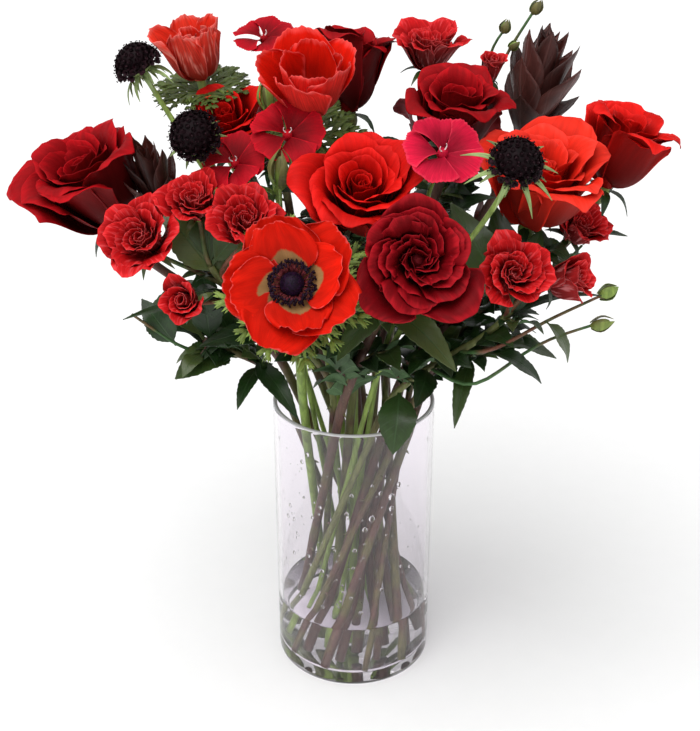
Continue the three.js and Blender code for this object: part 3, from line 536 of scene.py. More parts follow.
def leaf(growth, start, end, width, face=(0, 0, 1), arch=0.12, fold=0.18, teeth=0, finish=(2, 3),
         stalk=0.1, slender=0.75, grid=None, droop=0.0):
    """A leaf from its root to its tip, folded along its midrib and arched."""
    start, end = np.asarray(start, float), np.asarray(end, float)
    way = end - start
    length = np.linalg.norm(way)
    way = way / length
    side = unit(np.cross(way, face))
    above = np.cross(side, way)
    wave = growth.draw.random() * 6
    ripple = 0.03 + 0.03 * growth.draw.random()

    def surface(u, v):
        blade = np.clip((v - stalk) / (1 - stalk), 0, 1)
        outline = np.maximum(np.sin(math.pi * blade**slender), 0) ** 0.85
        outline = np.maximum(outline, 0.055 + 0.05 * (v < stalk))
        reach = np.abs(u)
        if teeth:
            outline = outline * (1 - 0.11 * ((blade * teeth) % 1.0) * reach**8 * (blade < 0.97))
        half = width / 2 * outline
        rise = length * arch * np.sin(math.pi * v) - length * droop * v**3
        lift = reach * half * fold + width * ripple * reach * np.sin(9 * v + wave) * outline
        return (
            start + way * (v * length)[:, None] + above * rise[:, None]
            + side * (u * half)[:, None] + above * lift[:, None]
        )

    across, along = grid or (6, 3 * teeth if teeth else 16)
    growth.blade(surface, across, along, leaf_thickness(), finish, edge=0.5)


def heading(turn, rise):
    turn, rise = math.radians(turn), math.radians(rise)
    return np.array([
        math.cos(turn) * math.cos(rise), math.sin(turn) * math.cos(rise), math.sin(rise)
    ])


def stem_leaves(growth, stem, rows, **looks):
    """The leaves of a stem's table: from a share of its bend, or a point, to a point."""
    for row in rows:
        row = dict(row)
        share = row.pop("at", 1)
        start = np.array(row.pop("start", stem.bend(share)), float)
        if "to" in row:
            end = np.array(row.pop("to"), float)
        else:
            end = start + heading(row.pop("turn"), row.pop("rise")) * row.pop("length")
        leaf(growth, start, end, **{**looks, **row})


def compound(growth, start, out, reach, size):
    """A rose leaf: a rib with one leaflet at its end and two pairs along it."""
    start, out = np.asarray(start, float), unit(out)
    side = unit(np.cross(out, (0, 0, 1)))
    above = np.cross(side, out)
    tip = start + out * reach
    growth.tube([start, (start + tip) / 2 + above * 2, tip], [1.1, 0.8, 0.6], sides=6)
    for share, hand, long in LEAFLETS:
        way = unit(out * (1 - 0.45 * abs(hand)) + side * hand * 0.8
                   + growth.draw.normal(size=3) * 0.12)
        foot = start + (tip - start) * share
        face = unit(above + growth.draw.normal(size=3) * 0.25)
        span = size * long * (0.9 + 0.2 * growth.draw.random())
        leaf(growth, foot, foot + way * span, span * 0.6, face=face, teeth=LEAFLET_TEETH,
             stalk=0.06, droop=0.14, fold=0.26, grid=(4, 18))


def filling(growth, stem, shares, reach=24, size=31):
    """Leaves that fill the bouquet below the blooms, steeper near the vase's mouth."""
    for share in shares:
        point = stem.bend(share)
        outwards = math.degrees(math.atan2(point[1], point[0]))
        turn = outwards + (30 + 50 * share) * growth.draw.normal()
        rise = 58 - 52 * share + 10 * growth.draw.normal()
        small = 1 - 0.3 * (share > 0.75)
        compound(growth, point, heading(turn, rise), reach * small, size * small)


def sepals(growth, count, inner, outer, drop, droop, *, width, finish=(2, 3), start=20):
    """Narrow pointed sepals or bracts round a neck, in the head's own place."""
    for i in range(count):
        turn = math.radians(360 / count * i + start + 10 * growth.draw.random())
        out = np.array([math.cos(turn), math.sin(turn), 0])
        reach = outer * (0.86 + 0.2 * growth.draw.random())
        leaf(
            growth, out * inner + (0, 0, -drop), out * reach + (0, 0, -drop - droop), width,
            arch=0.16, fold=0.3, finish=finish, stalk=0.0, slender=0.55, grid=(4, 10),
        )


def fern(growth, start, out, length, droop, width):
    """A deeply cut leaf: a narrow rib with pairs of pointed, split lobes."""
    start, out = np.asarray(start, float), unit(out)
    side = unit(np.cross(out, (0, 0, 1)))
    up = np.cross(side, out)
    tip = start + out * length - up * droop

    def lobe(foot, end, wide, arch, slender, steps):
        leaf(growth, foot, end, wide, arch=arch, slender=slender, stalk=0, finish=(1, 1),
             grid=(2, steps))

    lobe(start, tip, width, 0.1, 0.5, 10)
    for pair in range(4):
        share = 0.28 + 0.17 * pair
        foot = start + (tip - start) * share + up * length * 0.1 * math.sin(math.pi * share)
        for hand in (-1, 1):
            way = unit(out * 0.8 + side * hand * (0.75 - 0.1 * pair) + up * 0.15)
            reach = length * (0.42 - 0.07 * pair) * (0.9 + 0.25 * growth.draw.random())
            lobe(foot, foot + way * reach, width * 0.9, 0.08, 0.6, 6)
            for fork in (-0.5, 0.55):
                knee = foot + way * reach * 0.45
                twig = unit(way + side * hand * fork * 0.9 + out * 0.1)
                lobe(knee, knee + twig * reach * 0.5, width * 0.65, 0.05, 0.6, 4)


def bud(growth, foot, axis, length, width, finish, points=3):
    """A closed green bud: an egg with a few pointed tips."""
    axis = unit(axis)
    middle = Vector(foot) + Vector(axis) * length * 0.4
    turn = UP.rotation_difference(Vector(axis)).to_matrix().to_4x4()
    squeeze = Matrix.Diagonal((width * 0.4, width * 0.4, length * 0.44, 1))
    growth.ball(Matrix.Translation(middle) @ turn @ squeeze, 12, finish)
    for i in range(points):
        out = turn @ Matrix.Rotation(2 * math.pi * i / points + 0.4, 4, "Z") @ Vector((1, 0, 0))
        side = np.array(out)
        start = np.array(foot) + side * width * 0.3
        tip = np.array(foot) + axis * length + side * width * 0.14
        leaf(growth, start, tip, width * 0.75, face=side, arch=0.22, fold=-0.2,
             finish=(finish, finish), stalk=0, slender=0.6, grid=(4, 8))


# ---- Finishes ------------------------------------------------------------------------


class Finish:
    """A material's node tree, built node by node."""

    def __init__(self, name):
        self.material = bpy.data.materials.new(name)
        self.material.use_nodes = True
        self.tree = self.material.node_tree
        self.tree.nodes.clear()

    def node(self, kind, inputs=(), **settings):
        made = self.tree.nodes.new(kind)
        for key, value in settings.items():
            setattr(made, key, value)
        for key, value in dict(inputs).items():
            if isinstance(value, bpy.types.NodeSocket):
                self.tree.links.new(value, made.inputs[key])
            else:
                made.inputs[key].default_value = value
        return made

    def math(self, operation, first, second=0.0):
        return self.node("ShaderNodeMath", {0: first, 1: second}, operation=operation).outputs[0]

    def swing(self, value, amount):
        """A value from 0 to 1 made to swing about zero."""
        return self.math("MULTIPLY", self.math("SUBTRACT", value, 0.5), amount)

    def between(self, value, low, high, start=0.0, end=1.0):
        inputs = {"Value": value, "From Min": low, "From Max": high, "To Min": start, "To Max": end}
        made = self.node("ShaderNodeMapRange", inputs, interpolation_type="SMOOTHSTEP")
        return made.outputs["Result"]

    def mix(self, factor, first, second):
        inputs = {0: factor, 6: rgba(first), 7: rgba(second)}
        return self.node("ShaderNodeMix", inputs, data_type="RGBA").outputs[2]

    def noise(self, vector, scale, detail, rough=0.55):
        inputs = {"Vector": vector, "Scale": scale, "Detail": detail, "Roughness": rough}
        return self.node("ShaderNodeTexNoise", inputs).outputs["Fac"]

    def value(self, colour_, factor):
        """The colour made darker or lighter by a factor."""
        made = self.node("ShaderNodeHueSaturation", {"Color": colour_, "Value": factor})
        return made.outputs["Color"]

    def bump(self, height, strength, distance):
        inputs = {"Height": height, "Strength": strength, "Distance": distance}
        return self.node("ShaderNodeBump", inputs).outputs["Normal"]

    def lie(self):
        """How a blade lies: across from -1 to 1, along from 0 to 1, and which blade it is."""
        made = self.node("ShaderNodeAttribute", attribute_name="lie")
        parts = self.node("ShaderNodeSeparateXYZ", {0: made.outputs["Vector"]})
        return parts.outputs[0], parts.outputs[1], parts.outputs[2]

    def here(self):
        return self.node("ShaderNodeTexCoord").outputs["Object"]

    def laid(self, across, along, seed, stretch, detail=3.0, rough=0.55):
        """Noise that lies along a blade, stretched by a factor across it and one along it."""
        inputs = {0: self.math("MULTIPLY", across, stretch[0]),
                  1: self.math("MULTIPLY", along, stretch[1]), 2: seed}
        spot = self.node("ShaderNodeCombineXYZ", inputs).outputs[0]
        return self.noise(spot, 1.0, detail, rough)

    def done(self, surface, thin=None, share=0.0):
        """Ends the tree, with light let through where thin gives its colour."""
        shader = surface.outputs[0]
        if thin is not None:
            glow = self.node("ShaderNodeBsdfTranslucent", {"Color": rgba(thin)})
            inputs = {0: share, 1: shader, 2: glow.outputs[0]}
            shader = self.node("ShaderNodeMixShader", inputs).outputs[0]
        self.node("ShaderNodeOutputMaterial", {"Surface": shader})
        return self.material


def rgba(value):
    if isinstance(value, bpy.types.NodeSocket):
        return value
    return (*list(value)[:3], 1.0)


def shade(colour_, factor, lift=0.0):
    """A plain colour made darker or lighter, and paler by lift."""
    return [min(1.0, part * factor + lift) for part in list(colour_)[:3]]


def petal_finish(name, face, *, rim, deep=0.4, pale=0.0, streak=0.16, through=0.12,
                 heart=None, heart_reach=0.2, vein=60.0, edge_from=0.9, blotch=None):
    """A petal veined along its length, with painted shade towards its root and in its inner rows, and
    a painted highlight at its rim.
    """
    f = Finish(name)
    across, along, which = f.lie()
    tone = f.node("ShaderNodeAttribute", attribute_name="tone").outputs["Fac"]
    fan = f.math("MULTIPLY", across, f.math("ADD", along, 0.35))
    seed = f.math("MULTIPLY", which, 91.0)
    veins = f.laid(fan, along, seed, (vein * 0.4, 1.6), 4.0, 0.65)
    broad = f.laid(fan, along, seed, (5.0, 2.5), 2.0)
    cells = f.noise(f.here(), 1500.0, 2.0)
    # Painted shade: darker towards the root, where the heart of the bloom lies in shade. deep sets
    # how dark it gets.
    body = f.mix(f.between(along, 0.3, 0.95), shade(face, deep), face)
    # Painted shade: the inner rows of a head are darker, for the shade deep inside the bloom.
    body = f.mix(f.between(tone, 0.0, 0.7, 1.0, 0.0), body, shade(face, 0.8))
    # Lighter towards the edge: a painted highlight along the rim where rim is above 1, and a paler
    # edge of its own by pale.
    edge = f.math("MAXIMUM", f.math("ABSOLUTE", across), along)
    edge = f.math("ADD", edge, f.swing(broad, 0.16))
    body = f.mix(f.math("MULTIPLY", f.between(edge, edge_from, 1.0), 0.75), body,
                 shade(face, rim, pale))
    if blotch is not None:
        body = f.mix(f.between(broad, 0.5, 0.72, 0.0, 0.75), body, blotch)
    if heart is not None:
        ragged = f.math("ADD", along, f.swing(veins, 0.1))
        ragged = f.math("ADD", ragged, f.math("MULTIPLY", f.math("ABSOLUTE", across), 0.25))
        ring = f.between(ragged, heart_reach, heart_reach + 0.05, 1.0, 0.0)
        body = f.mix(ring, body, heart)
    light = f.math("ADD", f.swing(veins, streak * 2), 1.0)
    light = f.math("MULTIPLY", light, f.between(broad, 0.25, 0.75, 0.88, 1.1))
    light = f.math("MULTIPLY", light, f.between(which, 0.0, 1.0, 0.86, 1.1))
    body = f.value(body, light)
    relief = f.math("ADD", veins, f.math("MULTIPLY", cells, 0.35))
    skin = f.node(
        "ShaderNodeBsdfPrincipled",
        {"Base Color": body, "Roughness": 0.6, "Specular IOR Level": 0.1,
         "Normal": f.bump(relief, 0.22, 0.0006)},
    )
    return f.done(skin, body, through)


def leaf_finish(name, top, *, vein_light=1.9, gloss=0.36, ribs=9.0, warm=None, other=None,
                coat=0.0):
    """A leaf: a pale midrib, side ribs that sweep forward, and fine relief between them."""
    f = Finish(name)
    across, along, which = f.lie()
    side = f.math("ABSOLUTE", across)
    sweep = f.math("SUBTRACT", f.math("MULTIPLY", along, ribs), f.math("MULTIPLY", side, 1.7))
    wave = f.math("ABSOLUTE", f.math("SUBTRACT", f.math("FRACT", sweep), 0.5))
    rib = f.between(wave, 0.43, 0.5, 0.0, 1.0)
    midrib = f.between(side, 0.02, 0.07, 1.0, 0.0)
    veins = f.math("MAXIMUM", f.math("MULTIPLY", rib, 0.45), midrib)
    seed = f.math("MULTIPLY", which, 57.0)
    patch = f.laid(across, along, seed, (2.0, 4.0))
    cells = f.noise(f.here(), 900.0, 3.0)
    body = f.mix(f.between(patch, 0.3, 0.7), shade(top, 0.7), shade(top, 1.3))
    if warm is not None:
        body = f.mix(f.between(f.math("MAXIMUM", side, along), 0.7, 1.0, 0.0, 0.6), body, warm)
    if other is not None:
        body = f.mix(f.between(which, 0.55, 1.0, 0.0, 0.8), body, other)
    body = f.mix(f.math("MULTIPLY", veins, 0.6), body, shade(top, vein_light, 0.02))
    body = f.value(body, f.between(which, 0.0, 1.0, 0.65, 1.3))
    relief = f.math("SUBTRACT", f.math("MULTIPLY", cells, 0.35), veins)
    skin = f.node(
        "ShaderNodeBsdfPrincipled",
        {"Base Color": body, "Roughness": f.between(cells, 0.3, 0.7, gloss - 0.06, gloss + 0.1),
         "Specular IOR Level": 0.45, "Coat Weight": coat, "Coat Roughness": 0.25,
         "Normal": f.bump(relief, 0.4, 0.0005)},
    )
    return f.done(skin, shade(top, 1.6, 0.01), 0.15)


def stem_finish(name, skin_colour, other, *, patch=0.5, rough=0.5, grain=1.0, fleck=0.0):
    """A stem: two tones in long streaks, with a fine grain along it."""
    f = Finish(name)
    stretch = f.node("ShaderNodeMapping", {"Vector": f.here(), "Scale": (1.0, 1.0, 0.12)})
    streaks = f.noise(stretch.outputs[0], 420.0 * grain, 4.0, 0.6)
    zones = f.noise(f.here(), 34.0, 2.0)
    _, _, which = f.lie()
    share = f.math("ADD", zones, f.swing(which, 0.35))
    body = f.mix(f.between(share, patch - 0.12, patch + 0.12), skin_colour, other)
    body = f.value(body, f.between(streaks, 0.25, 0.75, 0.65, 1.3))
    if fleck:
        spots = f.between(f.noise(f.here(), 900.0, 1.0), 0.66, 0.72)
        body = f.mix(f.math("MULTIPLY", spots, fleck), body, shade(other, 1.5, 0.08))
    skin = f.node(
        "ShaderNodeBsdfPrincipled",
        {"Base Color": body, "Roughness": rough, "Specular IOR Level": 0.4,
         "Normal": f.bump(streaks, 0.45, 0.0008)},
    )
    return f.done(skin)


def velvet_finish(name, low, high, *, scale=420.0, rough=0.8, sheen=0.3):
    """A dark, finely pebbled surface, such as florets, stamens and an anemone's heart."""
    f = Finish(name)
    _, _, which = f.lie()
    grain = f.noise(f.here(), scale, 3.0)
    body = f.mix(f.between(grain, 0.35, 0.7), low, high)
    body = f.value(body, f.between(which, 0.0, 1.0, 0.7, 1.35))
    skin = f.node(
        "ShaderNodeBsdfPrincipled",
        {"Base Color": body, "Roughness": rough, "Specular IOR Level": 0.12, "Sheen Weight": sheen,
         "Sheen Roughness": 0.5, "Normal": f.bump(grain, 0.6, 0.0005)},
    )
    return f.done(skin)


def clear_finish(name, tint, ior, wobble, through=1.0, rough=0.0):
    """Clear glass or water, with a faint unevenness."""
    f = Finish(name)
    swell = f.noise(f.here(), 26.0, 1.0)
    skin = f.node(
        "ShaderNodeBsdfPrincipled",
        {"Base Color": rgba(tint), "Roughness": rough, "IOR": ior, "Transmission Weight": through,
         "Normal": f.bump(swell, wobble, 0.002)},
    )
    lamps = f.node("ShaderNodeLightPath").outputs["Is Shadow Ray"]
    open_ = f.node("ShaderNodeBsdfTransparent", {"Color": rgba(tint)})
    inputs = {0: lamps, 1: skin.outputs[0], 2: open_.outputs[0]}
    return f.done(f.node("ShaderNodeMixShader", inputs))


MADE = {}


def finish(name):
    """The named finish, made on first use from the colours in the sidebar."""
    if name in MADE:
        return MADE[name]
    c = bpy.context.scene.bouquet_colours
    recipes = {
        "bright": lambda: petal_finish("rose_bright", c.bright, rim=1.2, pale=0.01, deep=0.3),
        # Painted shade: each rose's back finish is a darker copy of its face colour, for the shade on
        # the backs of the outer petals. The burgundy back also has a mauve blotch of its own.
        "bright_back": lambda: petal_finish("rose_bright_back_shaded", shade(c.bright, 0.42), rim=1.8),
        "coral": lambda: petal_finish("rose_coral", c.coral, rim=1.15, pale=0.02, deep=0.6),
        "coral_back": lambda: petal_finish("rose_coral_back_shaded", shade(c.coral, 0.62), rim=1.4),
        "dark": lambda: petal_finish("rose_dark", c.dark, rim=1.6, deep=0.22),
        "dark_back": lambda: petal_finish("rose_dark_back_shaded", shade(c.dark, 0.62, 0.002), rim=1.4),
        "burgundy": lambda: petal_finish(
            "rose_burgundy", c.burgundy, rim=2.2, pale=0.004, deep=0.14),
        "burgundy_back": lambda: petal_finish(
            "rose_burgundy_back_shaded", shade(c.burgundy, 0.75, 0.004), rim=1.6, pale=0.01,
            blotch=(0.24, 0.025, 0.05)),
        "scarlet": lambda: petal_finish(
            "anemone_scarlet", c.scarlet, deep=0.75, rim=1.0, pale=0.1, through=0.25,
            heart=(0.42, 0.23, 0.09), heart_reach=0.46, streak=0.2, vein=90, edge_from=0.975),
        "scarlet_back": lambda: petal_finish(
            "anemone_scarlet_back", shade(c.scarlet, 0.85, 0.02), deep=0.7, rim=1.0, pale=0.1,
            streak=0.45, vein=110, through=0.25, edge_from=0.97),
        "cupped": lambda: petal_finish(
            "anemone_cupped", c.scarlet, deep=0.6, rim=1.0, pale=0.1, through=0.28, vein=90),
        "cupped_back": lambda: petal_finish(
            "anemone_cupped_back", shade(c.scarlet, 0.9, 0.03), deep=0.9, rim=1.1, pale=0.14,
            streak=0.6, vein=100, through=0.28),
        "blush": lambda: petal_finish(
            "anemone_blush", c.blush, deep=0.45, rim=1.2, pale=0.16, streak=0.6, vein=70),
        "blush_back": lambda: petal_finish(
            "anemone_blush_back", shade(c.blush, 0.95, 0.02), rim=1.1, pale=0.15, streak=0.8,
            vein=70, blotch=(0.85, 0.3, 0.24)),
        "spray": lambda: petal_finish(
            "spray_red", c.spray, rim=1.5, pale=0.02, streak=0.6, blotch=(0.72, 0.07, 0.08)),
        "spray_back": lambda: petal_finish(
            "spray_pink", shade(c.spray, 0.8, 0.02), rim=1.4, pale=0.06, streak=0.75,
            blotch=(0.75, 0.24, 0.25)),
        "crimson": lambda: petal_finish(
            "dianthus_crimson", c.crimson, rim=1.1, pale=0.03, deep=0.5, streak=0.5, vein=90),
        "maroon": lambda: petal_finish(
            "dianthus_maroon", c.maroon, rim=1.4, deep=0.45, streak=0.5, vein=90),
        "style": lambda: velvet_finish(
            "style", (0.75, 0.6, 0.6), (0.9, 0.8, 0.78), scale=900, rough=0.5),
        "black": lambda: velvet_finish(
            "scabiosa_black", shade(c.black, 0.5), shade(c.black, 1.5), rough=0.6, sheen=0),
        "maroon_floret": lambda: velvet_finish(
            "scabiosa_maroon", shade(c.black, 1.5), shade(c.black, 3.6, 0.006), rough=0.6,
            sheen=0.05),
        "pin": lambda: velvet_finish(
            "scabiosa_pin", shade(c.black, 1.2), shade(c.black, 3, 0.012), rough=0.5, sheen=0),
        "seed": lambda: velvet_finish(
            "anemone_seed", (0.005, 0.002, 0.007), (0.022, 0.008, 0.02), rough=0.55, sheen=0),
        "dome": lambda: velvet_finish(
            "anemone_dome", (0.004, 0.001, 0.006), (0.016, 0.004, 0.022), scale=700, rough=0.45,
            sheen=0),
        "filament": lambda: velvet_finish(
            "anemone_filament", (0.06, 0.004, 0.01), (0.3, 0.06, 0.07), sheen=0),
        "bract": lambda: leaf_finish(
            "bract", c.bract, ribs=2, gloss=0.3, warm=shade(c.bract, 0.55), vein_light=1.3,
            coat=0.2),
        "bract_back": lambda: leaf_finish(
            "bract_back", shade(c.bract, 0.8, 0.01), ribs=2, gloss=0.42),
        "leaf": lambda: leaf_finish("leaf", c.leaf, coat=0.25, other=(0.1, 0.13, 0.035)),
        "leaf_back": lambda: leaf_finish("leaf_back", shade(c.leaf, 1.9, 0.03), gloss=0.6),
        "fresh": lambda: leaf_finish("fresh_leaf", c.fresh, ribs=3, vein_light=1.4, gloss=0.5),
        "parsley": lambda: leaf_finish(
            "parsley_leaf", shade(c.fresh, 0.45), ribs=3, vein_light=1.4),
        "grey": lambda: leaf_finish(
            "grey_leaf", shade(c.fresh, 0.75, 0.07), ribs=2, vein_light=1.3, gloss=0.6),
        "wood": lambda: stem_finish("wood", c.wood, (0.12, 0.11, 0.035), patch=0.6, fleck=0.3),
        "reed": lambda: stem_finish("reed", (0.15, 0.17, 0.05), c.wood, patch=0.56, fleck=0.2),
        "twig": lambda: stem_finish("twig", (0.2, 0.07, 0.04), shade(c.leaf, 2.2, 0.02)),
        "soft": lambda: stem_finish(
            "soft_stem", shade(c.fresh, 1.25, 0.02), shade(c.fresh, 0.9), rough=0.45, grain=0.7),
        "bud": lambda: stem_finish("bud_green", shade(c.fresh, 0.9), (0.14, 0.13, 0.04)),
        "glass": lambda: clear_finish("vase_glass", c.glass, 1.46, 0.02),
        # Painted highlight: the top of the rim is a whiter, less clear glass, so it shows as the
        # bright line of light along the rim.
        "rim": lambda: clear_finish(
            "vase_rim_highlight", (0.97, 0.96, 0.98), 1.2, 0.0, through=0.35, rough=0.2),
        "water": lambda: clear_finish("vase_water", (0.985, 0.99, 0.98), 1.33, 0.01),
    }
    MADE[name] = recipes[name]()
    return MADE[name]


def petal_thickness():
    return bpy.context.scene.bouquet_sizes.petal / MM


def leaf_thickness():
    """Rounded, because a slider keeps only about seven digits of what is set."""
    return round(bpy.context.scene.bouquet_sizes.leaf / MM, 4)


# ---- The flowers' tables -------------------------------------------------------------

ROSES = [
    dict(name="rose_front", at=(34, -114, 342), width=68, axis=(0.05, -0.88, 0.46), kind="garden",
         roll=10, slot=(3, -156), petals="burgundy", stem="wood", leaves=[
             dict(at=0.6, to=(58, -100, 268), width=20, face=(0, -0.6, 1)),
             dict(at=0.66, to=(-10, -104, 276), width=18, face=(0, -0.6, 1))]),
    dict(name="rose_centre", at=(4, -67, 364), width=73, axis=(0.05, -0.54, 0.84), kind="open",
         roll=20, slot=(1, -148), petals="bright", stem="reed", leaves=[
             dict(at=0.38, turn=180, rise=20, length=38, width=20)]),
    dict(name="rose_far_left", at=(-158, -17, 353), width=81, axis=(-0.34, -0.34, 0.88),
         kind="deep", roll=40, slot=(3, 106), petals="dark", stem="wood", leaves=[
             dict(at=0.51, turn=215, rise=-5, length=46, width=22),
             dict(at=0.24, turn=160, rise=10, length=44, width=22)], green=(0.12, 0.3)),
    dict(name="rose_upper_right", at=(60, -2, 392), width=64, axis=(0.1, -0.34, 0.94), kind="deep",
         roll=60, slot=(1, -28), petals="dark", stem="reed", leaves=[
             dict(at=0.42, turn=20, rise=20, length=38, width=20)]),
    dict(name="rose_right", at=(107, -46, 362), width=75, axis=(0.12, -0.35, 0.93), kind="deep",
         roll=5, slot=(2, -89), petals="coral", stem="wood", leaves=[
             dict(at=0.38, turn=-15, rise=5, length=42, width=22)]),
    dict(name="rose_far_right", at=(161, -3, 370), width=64, axis=(0.3, -0.1, 0.95), kind="cup",
         roll=30, slot=(3, -58), petals="bright", stem="wood", leaves=[
             dict(at=0.6, turn=40, rise=15, length=36, width=18),
             dict(at=0.33, turn=-10, rise=5, length=42, width=22)], green=(0.12, 0.28)),
    dict(name="rose_top", at=(-3, 52, 406), width=68, axis=(0, 0.12, 0.99), kind="cup", roll=15,
         slot=(2, 31), petals="dark", stem="reed", leaves=[
             dict(at=0.38, turn=100, rise=25, length=40, width=20)]),
    dict(name="rose_upper_left", at=(-77, 12, 382), width=58, axis=(-0.2, -0.45, 0.87), kind="side",
         roll=50, slot=(1, 32), petals="bright", stem="wood", leaves=[
             dict(at=0.42, turn=150, rise=15, length=38, width=20)]),
    dict(name="rose_back_left", at=(-62, 98, 356), width=70, axis=(-0.35, 0.7, 0.62), kind="side",
         roll=25, slot=(3, 73), petals="bright", stem="reed", leaves=[
             dict(at=0.47, turn=120, rise=0, length=44, width=22),
             dict(at=0.2, turn=80, rise=10, length=40, width=20)]),
    dict(name="rose_back_right", at=(62, 100, 352), width=72, axis=(0.35, 0.72, 0.6), kind="side",
         roll=0, slot=(3, 8), petals="burgundy", stem="wood", leaves=[
             dict(at=0.47, turn=60, rise=0, length=44, width=22),
             dict(at=0.2, turn=10, rise=10, length=40, width=20)]),
]
ROSE_SLOTS = {"bright": "rose_bright", "coral": "rose_bright", "dark": "rose_dark",
              "burgundy": "rose_burgundy"}
SPRAY_FILLING = (0.25, 0.4, 0.55, 0.68, 0.8, 0.92)
ROSE_FILLING = (0.08, 0.18, 0.3, 0.4, 0.5, 0.6, 0.7, 0.8, 0.88, 0.94)

# Whorls of an anemone: count, root, lift, length, width, lean, wrap, skew, first turn.
ANEMONE_OPEN = [
    (4, 0.15, 0.09, 0.94, 1.2, (82, 54, 36), 1.4, 0.08, 15),
    (5, 0.13, 0.04, 1.12, 1.5, (88, 62, 46), 1.3, 0.1, 36),
]
ANEMONE_CUP = [
    (4, 0.17, 0.08, 1.16, 1.4, (76, 12, 4), 1.05, 0.05, 0),
    (5, 0.15, 0.04, 1.4, 1.75, (88, 22, 26), 1.05, 0.07, 36),
]
ANEMONE_SHUT = [
    (3, 0.12, 0.1, 1.6, 1.3, (80, 0, 6), 1.0, 0.05, 10),
    (5, 0.18, 0.08, 1.86, 1.65, (84, 10, 24), 1.0, 0.07, 36),
]
ANEMONES = [
    dict(name="anemone_front", at=(-33, -135, 337), width=68, axis=(-0.05, -0.82, 0.57),
         whorls=ANEMONE_OPEN, slot=(3, 172), petals="scarlet", heart=0.35, centre="open",
         ruff=dict(drop=16, count=12, length=45, droop=6, width=3.4)),
    dict(name="anemone_top", at=(-25, -22, 418), width=60, axis=(0, -0.42, 0.91),
         whorls=ANEMONE_CUP, slot=(0, 0), petals="cupped", ruffle=0.05, heart=0.72, centre="dome",
         ruff=dict(drop=22, count=11, length=34, droop=2, width=4.4)),
    dict(name="anemone_left", at=(-97, 28, 423), width=42, axis=(-0.12, -0.2, 0.97),
         whorls=ANEMONE_SHUT, slot=(1, 92), petals="blush", ruffle=0.14, jag=0.014, heart=0.88,
         centre=None,
         ruff=dict(drop=9, count=14, length=34, droop=0, width=4.6)),
]

SCABIOSAS = [
    dict(name="scabiosa_far_left", at=(-129, 0, 423), width=29, axis=(-0.45, -0.1, 0.88),
         slot=(2, 111), droop=12, reach=17),
    dict(name="scabiosa_left", at=(-91, -45, 391), width=30, axis=(-0.05, -0.85, 0.52),
         slot=(2, 151), droop=4, reach=18),
    dict(name="scabiosa_right", at=(84, -112, 396), width=29, axis=(0.1, -0.6, 0.79),
         slot=(2, -129), droop=4, reach=28),
]

# Small roses: number, at, width, axis, kind, roll, and where its twig leaves the stem.
# Twigs: where they leave it, and the points they run through. Closed buds: foot, axis,
# length, width.
SPRAYS = [
    dict(name="spray_left", slot=(2, -169), fork=(-84, -58, 316), axis=(-0.35, -0.3, 0.88), heads=[
        (1, (-121, -72, 338), 48, (-0.25, -0.7, 0.67), "spray", 0, 0.82),
        (2, (-91, -62, 357), 37, (-0.1, -0.5, 0.86), "spray", 0, 1),
        (3, (-59, -88, 354), 43, (0.05, -0.65, 0.76), "spray", 8, 0.87),
        (4, (-94, -92, 308), 34, (-0.2, -0.85, 0.45), "bud", 0, 0.69)],
         leaves=[dict(at=0.5, to=(-92, -66, 268), width=19, face=(0, -0.7, 1)),
                 dict(at=0.78, to=(-136, -68, 286), width=14, arch=0.05),
                 dict(at=1, to=(-86, -34, 356), width=24, face=(0, -1, 0.5)),
                 dict(at=0.94, to=(-112, -42, 346), width=24, face=(0, -1, 0.5)),
                 dict(at=1, to=(-46, -42, 354), width=25, face=(0, -1, 0.5)),
                 dict(at=0.9, to=(-66, -46, 340), width=24, face=(0, -1, 0.5))],
         twigs=[], buds=[]),
    dict(name="spray_right", slot=(3, -123), fork=(92, -64, 290), axis=(0.4, -0.3, 0.86), heads=[
        (5, (88, -100, 328), 44, (0.1, -0.8, 0.6), "spray", 40, 0.91),
        (6, (120, -76, 314), 36, (0.75, -0.5, 0.42), "bud", 0, 1),
        (7, (136, -28, 330), 38, (0.4, -0.5, 0.77), "spray", 0, 1)],
         leaves=[dict(start=(112, -70, 286), to=(126, -76, 262), width=17),
                 dict(start=(80, -76, 268), to=(110, -84, 252), width=20),
                 dict(at=0.87, to=(146, -60, 298), width=12),
                 dict(at=1, to=(56, -44, 350), width=27, face=(0, -1, 0.5)),
                 dict(at=1, to=(82, -42, 348), width=25, face=(0, -1, 0.5)),
                 dict(at=0.9, to=(110, -44, 334), width=24, face=(0, -1, 0.4)),
                 dict(at=0.2, to=(24, -70, 196), width=25, face=(0, -1, 0.3)),
                 dict(at=0.4, to=(36, -88, 238), width=16, face=(0, -1, 0.3))],
         twigs=[(0.6, [(80, -76, 268), (112, -70, 286), (148, -52, 295)]),
                (0.42, [(70, -72, 240), (110, -68, 272), (142, -64, 281)])],
         buds=[((146, -53, 294.5), (0.8, 0.3, 0.3), 13, 8.5),
               ((140, -65, 280.5), (0.95, 0, 0.25), 14, 7.5)]),
    dict(name="spray_top", slot=(2, -9), fork=(70, 44, 366), axis=(0.2, 0.2, 0.96), heads=[
        (8, (47, 50, 420), 46, (0.05, -0.2, 0.98), "spray", 0, 0.87),
        (9, (86, 44, 408), 25, (0.2, -0.3, 0.93), "bud", 0, 0.78)],
         leaves=[dict(at=0.78, turn=60, rise=25, length=34, width=16)],
         twigs=[(1, [(88, 58, 394), (98, 56, 418), (112, 54, 442)]),
                (1, [(84, 64, 396), (88, 62, 420), (94, 60, 428)])],
         buds=[((111, 54, 440), (0.5, -0.1, 0.9), 10, 7), ((94, 60, 427), (0.3, 0, 0.95), 9, 6.5),
               ((98, 56, 418), (0.8, -0.2, 0.7), 8, 5.5),
               ((90, 57, 401), (-0.4, -0.3, 0.9), 8, 5)]),
]

